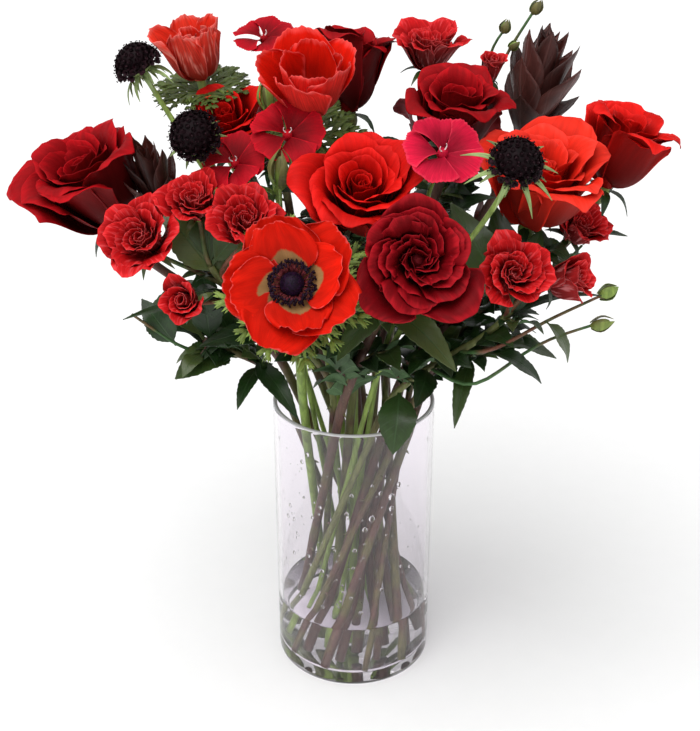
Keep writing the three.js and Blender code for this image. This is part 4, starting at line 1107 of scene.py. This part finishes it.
# Dianthus heads: name, at, width, axis, roll, where its stalk leaves the stem, and finish.
DIANTHUS = [
    dict(name="dianthus_left", slot=(1, 152), fork=(-48, -8, 350), axis=(-0.1, -0.1, 0.99), heads=[
        ("dianthus_left_1", (-38, -40, 388), 44, (0, -0.65, 0.76), 0, 1, "maroon"),
        ("dianthus_left_2", (-68, -42, 372), 40, (-0.25, -0.6, 0.76), 0, 0.91, "maroon"),
        ("dianthus_top", (-54, 22, 430), 38, (-0.1, -0.35, 0.93), 0, 0.91, "maroon")],
         leaves=[dict(at=0.69, turn=200, rise=45, length=34, width=5)],
         buds=[((-42, -60, 364), (0.05, -0.2, 1), 24, 9), ((-50, -2, 392), (-0.2, 0, 1), 20, 7)]),
    dict(name="dianthus_right", slot=(1, -88), fork=(42, -52, 352), axis=(0, -0.1, 0.99), heads=[
        ("dianthus_right", (48, -74, 387), 46, (0.1, -0.6, 0.79), 36, 1, "crimson")],
         leaves=[dict(at=0.78, turn=-70, rise=40, length=34, width=5)], buds=[]),
]

LEUCADENDRONS = [
    dict(name="leucadendron_right", at=(118, 46, 404), width=44, height=70, axis=(0.2, -0.1, 0.97),
         slot=(2, -49)),
    dict(name="leucadendron_left", at=(-122, -14, 356), width=26, height=52,
         axis=(-0.15, -0.3, 0.94), slot=(2, 71)),
]

FOLIAGE = [
    dict(name="foliage_left", slot=(3, 139), radius=2.4, fork=(-92, -44, 262),
         axis=(-0.75, -0.3, 0.6),
         twigs=[(0.78, [(-82, -40, 246), (-108, -52, 262), (-132, -60, 286)])],
         leaves=[dict(at=0.72, to=(-108, -66, 246), width=26, face=(0, -0.5, 1)),
                 dict(start=(-108, -52, 262), to=(-128, -46, 290), width=18, face=(0, -1, 0.5)),
                 dict(at=0.94, to=(-92, -30, 308), width=22, face=(0, -1, 0.4)),
                 dict(at=0.5, to=(-34, -76, 224), width=15, face=(0, -0.6, 1)),
                 dict(at=1, to=(-122, -10, 270), width=22),
                 dict(at=0.4, to=(-72, -60, 222), width=12)]),
    dict(name="foliage_right", slot=(3, -90), radius=2.4, fork=(86, -40, 256), axis=(0.7, -0.3, 0.6),
         twigs=[(0.87, [(96, -24, 262), (124, -8, 288), (142, -8, 310)])],
         leaves=[dict(at=1, to=(124, -50, 252), width=22),
                 dict(at=0.78, to=(60, -84, 222), width=12),
                 dict(start=(124, -8, 288), to=(152, 12, 296), width=18),
                 dict(at=0.87, to=(104, -4, 240), width=20),
                 dict(start=(142, -8, 310), to=(166, -24, 322), width=12)]),
    dict(name="foliage_back_right", slot=(3, -25), radius=2.2, fork=(64, 24, 300),
         axis=(0.6, 0.3, 0.7),
         twigs=[],
         leaves=[dict(at=0.78, to=(104, 26, 262), width=22),
                 dict(at=1, to=(112, 22, 300), width=22),
                 dict(at=0.91, to=(74, 62, 280), width=20),
                 dict(at=0.64, to=(84, 58, 244), width=18)]),
    dict(name="foliage_back_left", slot=(3, 41), radius=2.2, fork=(-18, 96, 284),
         axis=(-0.1, 0.7, 0.7),
         twigs=[],
         leaves=[dict(at=1, to=(-20, 134, 296), width=22),
                 dict(at=0.91, to=(22, 120, 276), width=22),
                 dict(at=0.82, to=(-60, 112, 268), width=22),
                 dict(at=0.69, to=(8, 104, 240), width=20),
                 dict(at=0.6, to=(-52, 78, 236), width=20)]),
]


def twig_points(start, points):
    """A smooth run through a few points."""
    knots = np.array([start, *points], float)
    spots = np.concatenate([[0], np.cumsum(np.linalg.norm(np.diff(knots, axis=0), axis=1))])
    fine = np.linspace(0, spots[-1], 14)
    line = np.c_[[np.interp(fine, spots, knots[:, i]) for i in range(3)]].T
    for _ in range(3):
        line[1:-1] = (line[:-2] + 2 * line[1:-1] + line[2:]) / 4
    return line


def grow_twigs(growth, stem, twigs, thick, thin):
    """Bare twigs that leave a stem and run through the points of a table."""
    for share, points in twigs:
        run = twig_points(stem.bend(share), points)
        growth.tube(run, np.linspace(thick, thin, len(run)), 1, sides=8)


def branch(growth, stem, base, axis, share, thick, index):
    """A twig from a stem to the foot of a small head."""
    start = stem.bend(share)
    along = unit(stem.bend(min(1, share + 0.01)) - stem.bend(share - 0.01))
    span = np.linalg.norm(np.array(base) - start)
    pull = span * 0.35
    run = bezier([start, start + along * pull, np.array(base) - unit(axis) * pull, base])
    growth.tube(run(np.linspace(0, 1, 12)), np.linspace(thick * 1.15, thick, 12), index, sides=8)


# ---- Operators -----------------------------------------------------------------------


class BOUQUET_OT_vase(bpy.types.Operator):
    """Turns the clear glass cylinder with its thick foot and rounded rim"""

    bl_idname = "bouquet.vase"
    bl_label = "Vase"

    def execute(self, context):
        radius, height, wall, base = (VASE[key] for key in ("radius", "height", "wall", "base"))
        inner = radius - wall
        growth = Growth("vase")
        growth.turned(
            [(0, 1.2), (radius - 14, 0.9), (radius - 9, 0), (radius - 2.6, 0), (radius - 1.0, 0.5),
             (radius - 0.2, 1.6), (radius, 3.4), (radius, 5), (radius, 9), (radius, 24), (radius, 60),
             (radius, 110), (radius, 160), (radius, height - 7), (radius, height - 2.6),
             (radius, height - 1.3), (radius - 0.45, height - 0.35), (radius - wall / 2, height),
             (inner + 0.45, height - 0.35), (inner, height - 1.3), (inner, height - 2.6),
             (inner, height - 7), (inner, 160), (inner, 110), (inner, 60), (inner, base + 14),
             (inner, base + 8), (inner, base + 6), (inner - 0.8, base + 2.6),
             (inner - 2.8, base + 0.8), (inner - 6, base), (inner - 22, base - 0.3), (0, base - 0.4)],
            128,
        )
        made = piece("glass_cylinder", growth, ("glass", "rim"), "glass", "vase")
        # The top band of the rim takes the whiter rim finish, a painted highlight.
        for face in made.data.polygons:
            face.material_index = int(face.center.z > (height - 0.9) * MM)
        return {"FINISHED"}


class BOUQUET_OT_water(bpy.types.Operator):
    """Fills the foot of the vase with water and sets drops on the inner wall"""

    bl_idname = "bouquet.water"
    bl_label = "Water"
    # The drops that stand out: turn, height, size.
    big = ((-62, 150, 2.2), (-62, 141, 1.8), (-77, 136, 2.0), (-82, 128, 1.7))

    def execute(self, context):
        sizes = context.scene.bouquet_sizes
        radius, base = VASE["radius"] - VASE["wall"] + 0.06, VASE["base"]
        level = sizes.water / MM
        growth = Growth("water")
        growth.turned(
            [(0, base - 0.46), (radius - 22, base - 0.36), (radius - 6, base - 0.06),
             (radius - 2.8, base + 0.74), (radius - 0.8, base + 2.54), (radius, base + 6),
             (radius, base + 8), (radius, level * 0.6), (radius, level - 3), (radius, level),
             (radius, level + 1.4), (radius - 0.5, level + 0.7),
             (radius - 1.6, level + 0.2), (radius - 3.6, level), (radius * 0.5, level), (0, level)],
            128,
        )
        piece("water_in_vase", growth, ("water",), "water", "water")
        drops = Growth("drops")
        spots = list(self.big)
        for _ in range(sizes.beads):
            turn = drops.draw.normal(-125, 60)
            height = level + 14 + 120 * drops.draw.random() ** 1.3
            spots.append((turn, height, 0.45 + 1.1 * drops.draw.random() ** 3))
        for turn, height, size in spots:
            spot = standing((0, 0, height), UP, turn) @ Matrix.Translation((radius - 0.1, 0, 0))
            drops.ball(spot @ Matrix.Diagonal((size * 0.5, size, size * 1.25, 1)), 12)
        piece("drops_on_wall", drops, ("water",), "water")
        return {"FINISHED"}


class BOUQUET_OT_roses(bpy.types.Operator):
    """Grows the ten large roses with their stems, hips, sepals and leaves"""

    bl_idname = "bouquet.roses"
    bl_label = "Roses"
    hip = [(0, -12), (3.4, -11.6), (5.0, -8.5), (5.4, -6), (5.0, -3), (4.2, -0.4), (0, -0.3)]

    def execute(self, context):
        thick = petal_thickness()
        for rose in ROSES:
            name, size, way = rose["name"], rose["width"] / 2, unit(rose["axis"])
            base = np.array(rose["at"]) - way * HEADS[rose["kind"]]["sink"] * size
            place = standing(base, way, rose["roll"])
            head = Growth(name, place)
            rose_head(head, rose["kind"], size, thick)
            red = rose["petals"]
            # The backs of the petals take the rose's darker back finish, which is painted shade.
            head_piece(name, head, (red + "_back", red), ROSE_SLOTS[red])
            green = Growth(name + "stem", place)
            green.turned(self.hip, 16, finish=1)
            sepals(green, 5, 3.6, 22, 2.2, 11, width=6.5)
            green.place = Matrix()
            stem = Stem(rose["slot"], base - way * 9, way, STEM_RADIUS["rose"])
            grow_stem(green, stem, 0, prickles=9)
            stem_leaves(green, stem, rose["leaves"], teeth=ROSE_TEETH)
            filling(green, stem, rose.get("green", ROSE_FILLING))
            stalk_piece(name, green, rose["stem"], "bud", "leaf", "leaf_back")
        return {"FINISHED"}


class BOUQUET_OT_anemones(bpy.types.Operator):
    """Grows the three anemones with their hearts, stamens, ruffs and soft stems"""

    bl_idname = "bouquet.anemones"
    bl_label = "Anemones"
    grains = 160  # on the heart

    def execute(self, context):
        thick = petal_thickness() * 0.8
        for flower in ANEMONES:
            name, size, way = flower["name"], flower["width"] / 2, unit(flower["axis"])
            base = np.array(flower["at"]) - way * flower["heart"] * size
            place = standing(base, way)
            head = Growth(name, place)
            for count, root, lift, length, width, lean, wrap, skew, start in flower["whorls"]:
                for i in range(count):
                    vary = 1 + 0.07 * (2 * head.draw.random() - 1)
                    tilt = 16 * (head.draw.random() - 0.5)
                    petal(
                        head, turn=360 / count * i + start, root=root * size, lift=lift * size,
                        length=length * size * vary, width=width * size, wrap=wrap,
                        lean=(lean[0], lean[1] + tilt, lean[2] + 2 * tilt),
                        cap=math.pi / count * 1.5, skew=skew * size, taper=0.3,
                        ruffle=flower.get("ruffle", 0.055) * size, jag=flower.get("jag", 0.02),
                        waves=1.6 + 1.4 * head.draw.random(), thick=thick, tone=1.0, grid=(32, 20),
                    )
            head.turned([(0, 0), (0.2 * size, 0), (0.2 * size, 0.1 * size), (0, 0.12 * size)], 16)
            red = flower["petals"]
            head_piece(name, head, (red + "_back", red), "anemone_petals")
            if flower["centre"]:
                self.centre(context, name, size, place, flower["centre"] == "open")
            green = Growth(name + "stem")
            stem = Stem(flower["slot"], base - way * 0.3, way, STEM_RADIUS["anemone"])
            grow_stem(green, stem, 0, knots=1, swell=0.05, slim=0.95)
            ruff = flower["ruff"]
            green.place = standing(base - way * ruff["drop"], way)
            for i in range(ruff["count"]):
                turn = 2 * math.pi * (i + 0.25 * green.draw.random()) / ruff["count"]
                out = (math.cos(turn), math.sin(turn), 0)
                reach = ruff["length"] * (0.8 + 0.22 * green.draw.random())
                fern(green, np.array(out) * 2, out, reach, ruff["droop"], ruff["width"])
            leafy = "fresh" if flower["centre"] == "open" else "parsley"
            stalk_piece(name, green, "soft", leafy)
        return {"FINISHED"}

    def centre(self, context, name, size, place, is_open):
        """A grainy dark dome in a ring of stamens."""
        heart = Growth(name + "heart", place)
        floor = 0.1 * size + 0.3
        profile = [(0, floor), (0.13 * size, floor), (0.18 * size, floor + 0.07 * size),
                   (0.19 * size, floor + 0.13 * size), (0.16 * size, floor + 0.21 * size),
                   (0.09 * size, floor + 0.265 * size), (0, floor + 0.28 * size)]
        heart.turned(profile, 32)
        for i in range(self.grains):
            lean = math.radians(80 * math.sqrt((i + 0.5) / self.grains))
            turn = math.radians(i * GOLDEN_TURN)
            spot = Vector((
                math.sin(lean) * math.cos(turn) * 0.187 * size,
                math.sin(lean) * math.sin(turn) * 0.187 * size,
                floor + (0.115 + 0.16 * math.cos(lean)) * size,
            ))
            heart.ball(Matrix.Translation(spot) @ Matrix.Scale(0.011 * size, 4), 6)
        count = context.scene.bouquet_sizes.stamens
        for i in range(count if is_open else count // 2):
            turn = math.radians(i * GOLDEN_TURN)
            far = heart.draw.random()
            reach = (0.27 + 0.11 * far) * size
            rise = floor + (0.2 - 0.09 * far + 0.05 * heart.draw.random()) * size
            out = np.array([math.cos(turn), math.sin(turn), 0])
            end = out * reach + (0, 0, rise)
            foot, knee = out * 0.15 * size + (0, 0, floor), out * reach * 0.75 + (0, 0, rise * 0.85)
            heart.tube([foot, knee, end], [0.24, 0.2, 0.18], sides=5, finish=2)
            tilt = unit(out + heart.draw.normal(size=3) * 0.5)
            heart.ball(standing(end, tilt) @ Matrix.Diagonal((0.55, 0.8, 1.2, 1)), 6, finish=1)
        piece(f"{name}_heart", heart, ("dome", "seed", "filament"), "anemone_dark",
              f"{name}_centre")


class BOUQUET_OT_scabiosas(bpy.types.Operator):
    """Grows the three near-black scabiosas with their florets and long bracts"""

    bl_idname = "bouquet.scabiosas"
    bl_label = "Scabiosas"
    florets = 84

    def execute(self, context):
        for flower in SCABIOSAS:
            name, size, way = flower["name"], flower["width"] / 2, unit(flower["axis"])
            base = np.array(flower["at"]) - way * 0.4 * size
            place = standing(base, way)
            head = Growth(name, place)
            head.turned([(0, 0), (size * 0.6, 0), (size * 0.8, size * 0.25),
                         (size * 0.78, size * 0.5), (size * 0.6, size * 0.8),
                         (size * 0.3, size * 0.98), (0, size * 1.02)], 24)
            for i in range(self.florets):
                self.floret(head, place, size, i)
            head.place = place
            piece(f"{name}_dome", head, ("black", "maroon_floret", "pin"), "scabiosa_dark",
                  f"{name}_head")
            green = Growth(name + "stem", place)
            green.turned([(0, -5), (2.0, -4.8), (2.6, -4), (size * 0.5, -1), (size * 0.5, -0.3),
                          (0, -0.3)], 16, finish=1)
            for row, (count, share) in enumerate(((9, 1.0), (8, 0.72))):
                sepals(green, count, 3.0, flower["reach"] * share, 2.4 - row,
                       flower["droop"] * share, finish=(1, 1), width=3.4, start=20 * row)
            green.place = Matrix()
            stem = Stem(flower["slot"], base - way * 0.3, way, STEM_RADIUS["scabiosa"])
            grow_stem(green, stem, 0, knots=2)
            stalk_piece(name, green, "soft", "grey")
        return {"FINISHED"}

    def floret(self, head, place, size, index):
        """A small lobed cup with its pin, standing on the dome."""
        share = (index + 0.5) / self.florets
        tilt = math.acos(1 - 1.14 * share)
        turn = math.radians(index * GOLDEN_TURN)
        out = Vector((math.sin(tilt) * math.cos(turn), math.sin(tilt) * math.sin(turn),
                      math.cos(tilt)))
        foot = Vector((0, 0, size * 0.16)) + out * size * 0.8
        head.place = place @ standing(foot, out, 360 * head.draw.random())
        reach = size * (0.13 + 0.12 * share**2)
        rim = int(share > 0.7)
        for i in range(5):
            petal(
                head, turn=72 * i, root=0.35, lift=0, length=reach * (1 + 0.2 * head.draw.random()),
                width=reach * 1.1, lean=(20, 30, 70), cap=math.pi / 5 * 1.1, wrap=1.2, thick=0.3,
                grid=(2, 4), finish=(rim, rim),
            )
        for _ in range(2):
            tip = np.array([head.draw.normal(0, 0.5), head.draw.normal(0, 0.5), reach * 1.25])
            head.tube([(0, 0, 0), tip * 0.6, tip], 0.13, finish=2, sides=4)
            head.ball(Matrix.Translation(tip) @ Matrix.Diagonal((0.4, 0.4, 0.32, 1)), 6, finish=2)


class BOUQUET_OT_spray_roses(bpy.types.Operator):
    """Grows the branched sprays with their nine small roses, buds, twigs and leaves"""

    bl_idname = "bouquet.spray_roses"
    bl_label = "Spray roses"
    hip = [(0, -6), (1.8, -5.4), (2.8, -3.2), (2.3, -0.8)]

    def execute(self, context):
        thick = petal_thickness() * 0.9
        for spray in SPRAYS:
            name = spray["name"]
            stem = Stem(spray["slot"], spray["fork"], spray["axis"], STEM_RADIUS["spray"])
            green = Growth(name + "stem")
            grow_stem(green, stem, 0, knots=6, prickles=7)
            for number, at, width, axis, kind, roll, share in spray["heads"]:
                size, way = width / 2, unit(axis)
                base = np.array(at) - way * HEADS[kind]["sink"] * size
                place = standing(base, way, roll)
                head = Growth(f"spray rose {number}", place)
                rose_head(head, kind, size, thick)
                head_piece(f"spray_rose_{number}", head, ("spray_back", "spray"),
                           "spray_rose_petals")
                branch(green, stem, base - way, axis, share, TWIG_RADIUS["spray_rose"], 1)
                green.place = place
                green.turned([*self.hip, (size * 0.2, -0.3), (0, -0.3)], 12, finish=4)
                sepals(green, 5, size * 0.12, size * 0.8, 1.0, 4, width=4.0)
                green.place = Matrix()
            grow_twigs(green, stem, spray["twigs"], 1.25, 0.85)
            for foot, axis, length, width in spray["buds"]:
                bud(green, foot, axis, length, width, finish=4)
            stem_leaves(green, stem, spray["leaves"], teeth=SPRAY_TEETH)
            filling(green, stem, SPRAY_FILLING, reach=18, size=26)
            stalk_piece(name, green, "reed", "twig", "leaf", "leaf_back", "bud")
        return {"FINISHED"}


class BOUQUET_OT_dianthus(bpy.types.Operator):
    """Grows the four dianthus with toothed petals, slim calyces and grassy leaves"""

    bl_idname = "bouquet.dianthus"
    bl_label = "Dianthus"
    ends = (0.9, 1.0, 0.95, 1.02, 0.96, 1.0, 0.9)  # how far a petal reaches, across its end
    petals = 5
    calyx = [(0, -16), (1.5, -15.6), (2.2, -14), (2.8, -8), (2.5, -2.6), (2.3, -0.3), (0, -0.3)]

    def face(self, head, size, thick):
        """Fans with toothed ends, one lapping over the next."""
        share = 2 * math.pi / self.petals
        spots = np.linspace(-1, 1, len(self.ends))
        for i in range(self.petals):
            phase = 6 * head.draw.random()

            def fan(u, v, i=i, phase=phase):
                notch = 0.035 * np.abs(((u * 8 + phase) % 1) * 2 - 1)
                end = np.interp(u, spots, self.ends) - notch
                reach = size * (0.1 + (end - 0.1) * v)
                turn = (i + 0.5 * u * (0.8 + 0.4 * v)) * share
                wave = size * 0.05 * v**2 * np.sin(4 * u + phase)
                height = 0.2 * reach + 0.07 * size * u + wave + 0.08 * size * np.sin(math.pi * v)
                return np.c_[reach * np.cos(turn), reach * np.sin(turn), height + 0.6]

            head.blade(fan, 32, 10, thick, (1, 0), tone=1.0)

    def execute(self, context):
        thick = petal_thickness()
        for plant in DIANTHUS:
            name = plant["name"]
            stem = Stem(plant["slot"], plant["fork"], plant["axis"], STEM_RADIUS["dianthus"])
            green = Growth(name + "stem")
            grow_stem(green, stem, 0, swell=0.4)
            for label, at, width, axis, roll, share, red in plant["heads"]:
                size, way = width / 2, unit(axis)
                place = standing(np.array(at), way, roll)
                head = Growth(label, place)
                head.turned([(0, 0), (size * 0.15, 0), (size * 0.12, size * 0.16),
                             (0, size * 0.2)], 12)
                self.face(head, size, thick)
                for hand in (-1, 1):
                    steps = np.linspace(0, 1, 8)[:, None]
                    curl = np.c_[hand * 2.6 * np.sin(2.2 * steps), 1.2 * steps, 3.2 + 5.5 * steps]
                    head.tube(curl * (size / 25), np.linspace(0.5, 0.22, 8), finish=2, sides=6)
                head_piece(label, head, (red, red, "style"), "dianthus_crimson")
                branch(green, stem, np.array(at) - way * 14, axis, share, TWIG_RADIUS["dianthus"], 0)
                green.place = place
                green.turned(self.calyx, 14, finish=1)
                sepals(green, 4, 1.0, 3.4, 15, -6, finish=(1, 1), width=3.4)
                green.place = Matrix()
            for foot, axis, length, width in plant["buds"]:
                bud(green, foot, axis, length, width, finish=1, points=4)
                start = np.array(foot) - unit(axis) * 2
                run = twig_points(stem.bend(0.86), [start, np.array(foot)])
                green.tube(run, 1.0, 0, sides=8)
            stem_leaves(green, stem, plant["leaves"], finish=(2, 2), stalk=0, slender=0.5)
            stalk_piece(name, green, "soft", "bud", "grey")
        return {"FINISHED"}


class BOUQUET_OT_leucadendrons(bpy.types.Operator):
    """Grows the two burgundy leucadendron shoots"""

    bl_idname = "bouquet.leucadendrons"
    bl_label = "Leucadendrons"
    # Whorls of bracts: count, height of the root, share of the shoot's height, lean.
    whorls = ((3, -6, 0.62, (70, 32, 30)), (4, 0, 0.76, (56, 22, 16)), (3, 5, 0.86, (44, 12, 8)),
              (3, 9, 0.82, (34, 3, 2)), (2, 12, 0.74, (24, -3, -2)))
    leaf_shares = (0.3, 0.45, 0.58, 0.7, 0.8, 0.88)

    def execute(self, context):
        for shoot in LEUCADENDRONS:
            name, width, height = shoot["name"], shoot["width"], shoot["height"]
            way = unit(shoot["axis"])
            base = np.array(shoot["at"]) - way * 0.5 * height
            growth = Growth(name, standing(base, way))
            for row, (count, lift, length, lean) in enumerate(self.whorls):
                for i in range(count):
                    petal(
                        growth, turn=360 / count * i + row * 45, root=1.5, lift=lift, taper=0.97,
                        length=length * height * (0.94 + 0.12 * growth.draw.random()),
                        width=width * 0.7, lean=lean, wrap=0.7, cap=math.pi / count * 1.6,
                        thick=0.7, grid=(8, 14), soft=0.1, ruffle=0.3, finish=(2, 1),
                        tone=1 - row / len(self.whorls),
                    )
            growth.turned([(0, -8), (3, -8), (4.2, 6), (3, height * 0.3), (0, height * 0.4)], 12)
            growth.place = Matrix()
            stem = Stem(shoot["slot"], base + way * 6, way, STEM_RADIUS["leucadendron"])
            grow_stem(growth, stem, 0, knots=6, swell=0.08)
            for share in self.leaf_shares:
                start = stem.bend(share)
                out = unit(np.cross(unit(way), growth.draw.normal(size=3)))
                leaf(growth, start, start + out * 12 + way * 16, 6, face=-out,
                     finish=(1, 2), stalk=0, slender=0.6, grid=(4, 10))
            piece(f"{name}_shoot", growth, ("wood", "bract", "bract_back"), "burgundy_bracts", name)
        return {"FINISHED"}


class BOUQUET_OT_foliage(bpy.types.Operator):
    """Grows the four leafy rose branches that fill the bouquet"""

    bl_idname = "bouquet.foliage"
    bl_label = "Foliage"

    def execute(self, context):
        for plant in FOLIAGE:
            name = plant["name"]
            stem = Stem(plant["slot"], plant["fork"], plant["axis"], plant["radius"])
            growth = Growth(name + "branch")
            grow_stem(growth, stem, 0, knots=6, prickles=6)
            grow_twigs(growth, stem, plant["twigs"], 1.3, 0.8)
            stem_leaves(growth, stem, plant["leaves"], teeth=ROSE_TEETH)
            filling(growth, stem, SPRAY_FILLING, reach=20, size=28)
            piece(f"{name}_branch", growth, ("wood", "twig", "leaf", "leaf_back"),
                  "green_stems_leaves", f"{name}_stem")
        return {"FINISHED"}


# The stage is in metres.
FLOOR = dict(half=40, drop=0.0002)
AROUND = 0.52  # strength of the white light from all sides
SUN = dict(place=(-0.55, -0.9, 1.9), strength=2.5, spread=62)
CAMERA = dict(place=(-0.0025, -0.728, 0.578), tilt=64, lens=60.43, sensor=36)


class BOUQUET_OT_stage(bpy.types.Operator):
    """Sets the pale floor, the light from all sides, one soft sun and the camera"""

    bl_idname = "bouquet.stage"
    bl_label = "Stage"

    def execute(self, context):
        scene = context.scene
        bm = bmesh.new()
        bmesh.ops.create_grid(bm, x_segments=1, y_segments=1, size=FLOOR["half"])
        mesh = bpy.data.meshes.new("floor")
        bm.to_mesh(mesh)
        bm.free()
        floor = bpy.data.objects.new("floor", mesh)
        floor.location = (0, 0, -FLOOR["drop"])
        scene.collection.objects.link(floor)
        pale = Finish("floor_white")
        grain = pale.noise(pale.here(), 60.0, 2.0)
        tint = pale.mix(grain, (0.93, 0.93, 0.93), (0.95, 0.95, 0.95))
        skin = pale.node(
            "ShaderNodeBsdfPrincipled",
            {"Base Color": tint, "Roughness": 0.9, "Specular IOR Level": 0.1},
        )
        floor.data.materials.append(pale.done(skin))

        world = bpy.data.worlds.new("studio")
        world.use_nodes = True
        background = world.node_tree.nodes["Background"].inputs
        background["Color"].default_value = (1, 1, 1, 1)
        background["Strength"].default_value = AROUND
        scene.world = world
        sun = bpy.data.lights.new("soft_sun", "SUN")
        sun.energy, sun.angle = SUN["strength"], math.radians(SUN["spread"])
        holder = bpy.data.objects.new("soft_sun", sun)
        holder.location = SUN["place"]
        holder.rotation_euler = (-holder.location).to_track_quat("-Z", "Y").to_euler()
        scene.collection.objects.link(holder)

        camera = bpy.data.cameras.new("camera")
        camera.lens, camera.sensor_width = CAMERA["lens"], CAMERA["sensor"]
        holder = bpy.data.objects.new("camera", camera)
        holder.location = CAMERA["place"]
        holder.rotation_euler = (math.radians(CAMERA["tilt"]), 0, 0)
        scene.collection.objects.link(holder)
        scene.camera = holder
        scene.view_settings.view_transform = "Standard"
        return {"FINISHED"}


OPERATORS = (
    BOUQUET_OT_vase,
    BOUQUET_OT_water,
    BOUQUET_OT_roses,
    BOUQUET_OT_anemones,
    BOUQUET_OT_scabiosas,
    BOUQUET_OT_spray_roses,
    BOUQUET_OT_dianthus,
    BOUQUET_OT_leucadendrons,
    BOUQUET_OT_foliage,
    BOUQUET_OT_stage,
)


class BOUQUET_PT_panel(bpy.types.Panel):
    """Lists the bouquet's colours, sizes and pieces"""

    bl_idname = "BOUQUET_PT_panel"
    bl_label = "Bouquet"
    bl_space_type = "VIEW_3D"
    bl_region_type = "UI"
    bl_category = "Bouquet"

    def draw(self, context):
        for settings in (context.scene.bouquet_colours, context.scene.bouquet_sizes):
            for key in settings.__annotations__:
                self.layout.prop(settings, key)
        for operator in OPERATORS:
            self.layout.operator(operator.bl_idname)


CLASSES = (BouquetColours, BouquetSizes, *OPERATORS, BOUQUET_PT_panel)


def register():
    for item in CLASSES:
        bpy.utils.register_class(item)
    bpy.types.Scene.bouquet_colours = PointerProperty(type=BouquetColours)
    bpy.types.Scene.bouquet_sizes = PointerProperty(type=BouquetSizes)


def unregister():
    del bpy.types.Scene.bouquet_sizes
    del bpy.types.Scene.bouquet_colours
    for item in reversed(CLASSES):
        bpy.utils.unregister_class(item)


def main():
    register()
    for operator in OPERATORS:
        getattr(bpy.ops.bouquet, operator.bl_idname.split(".")[1])()


if __name__ == "__main__":
    main()
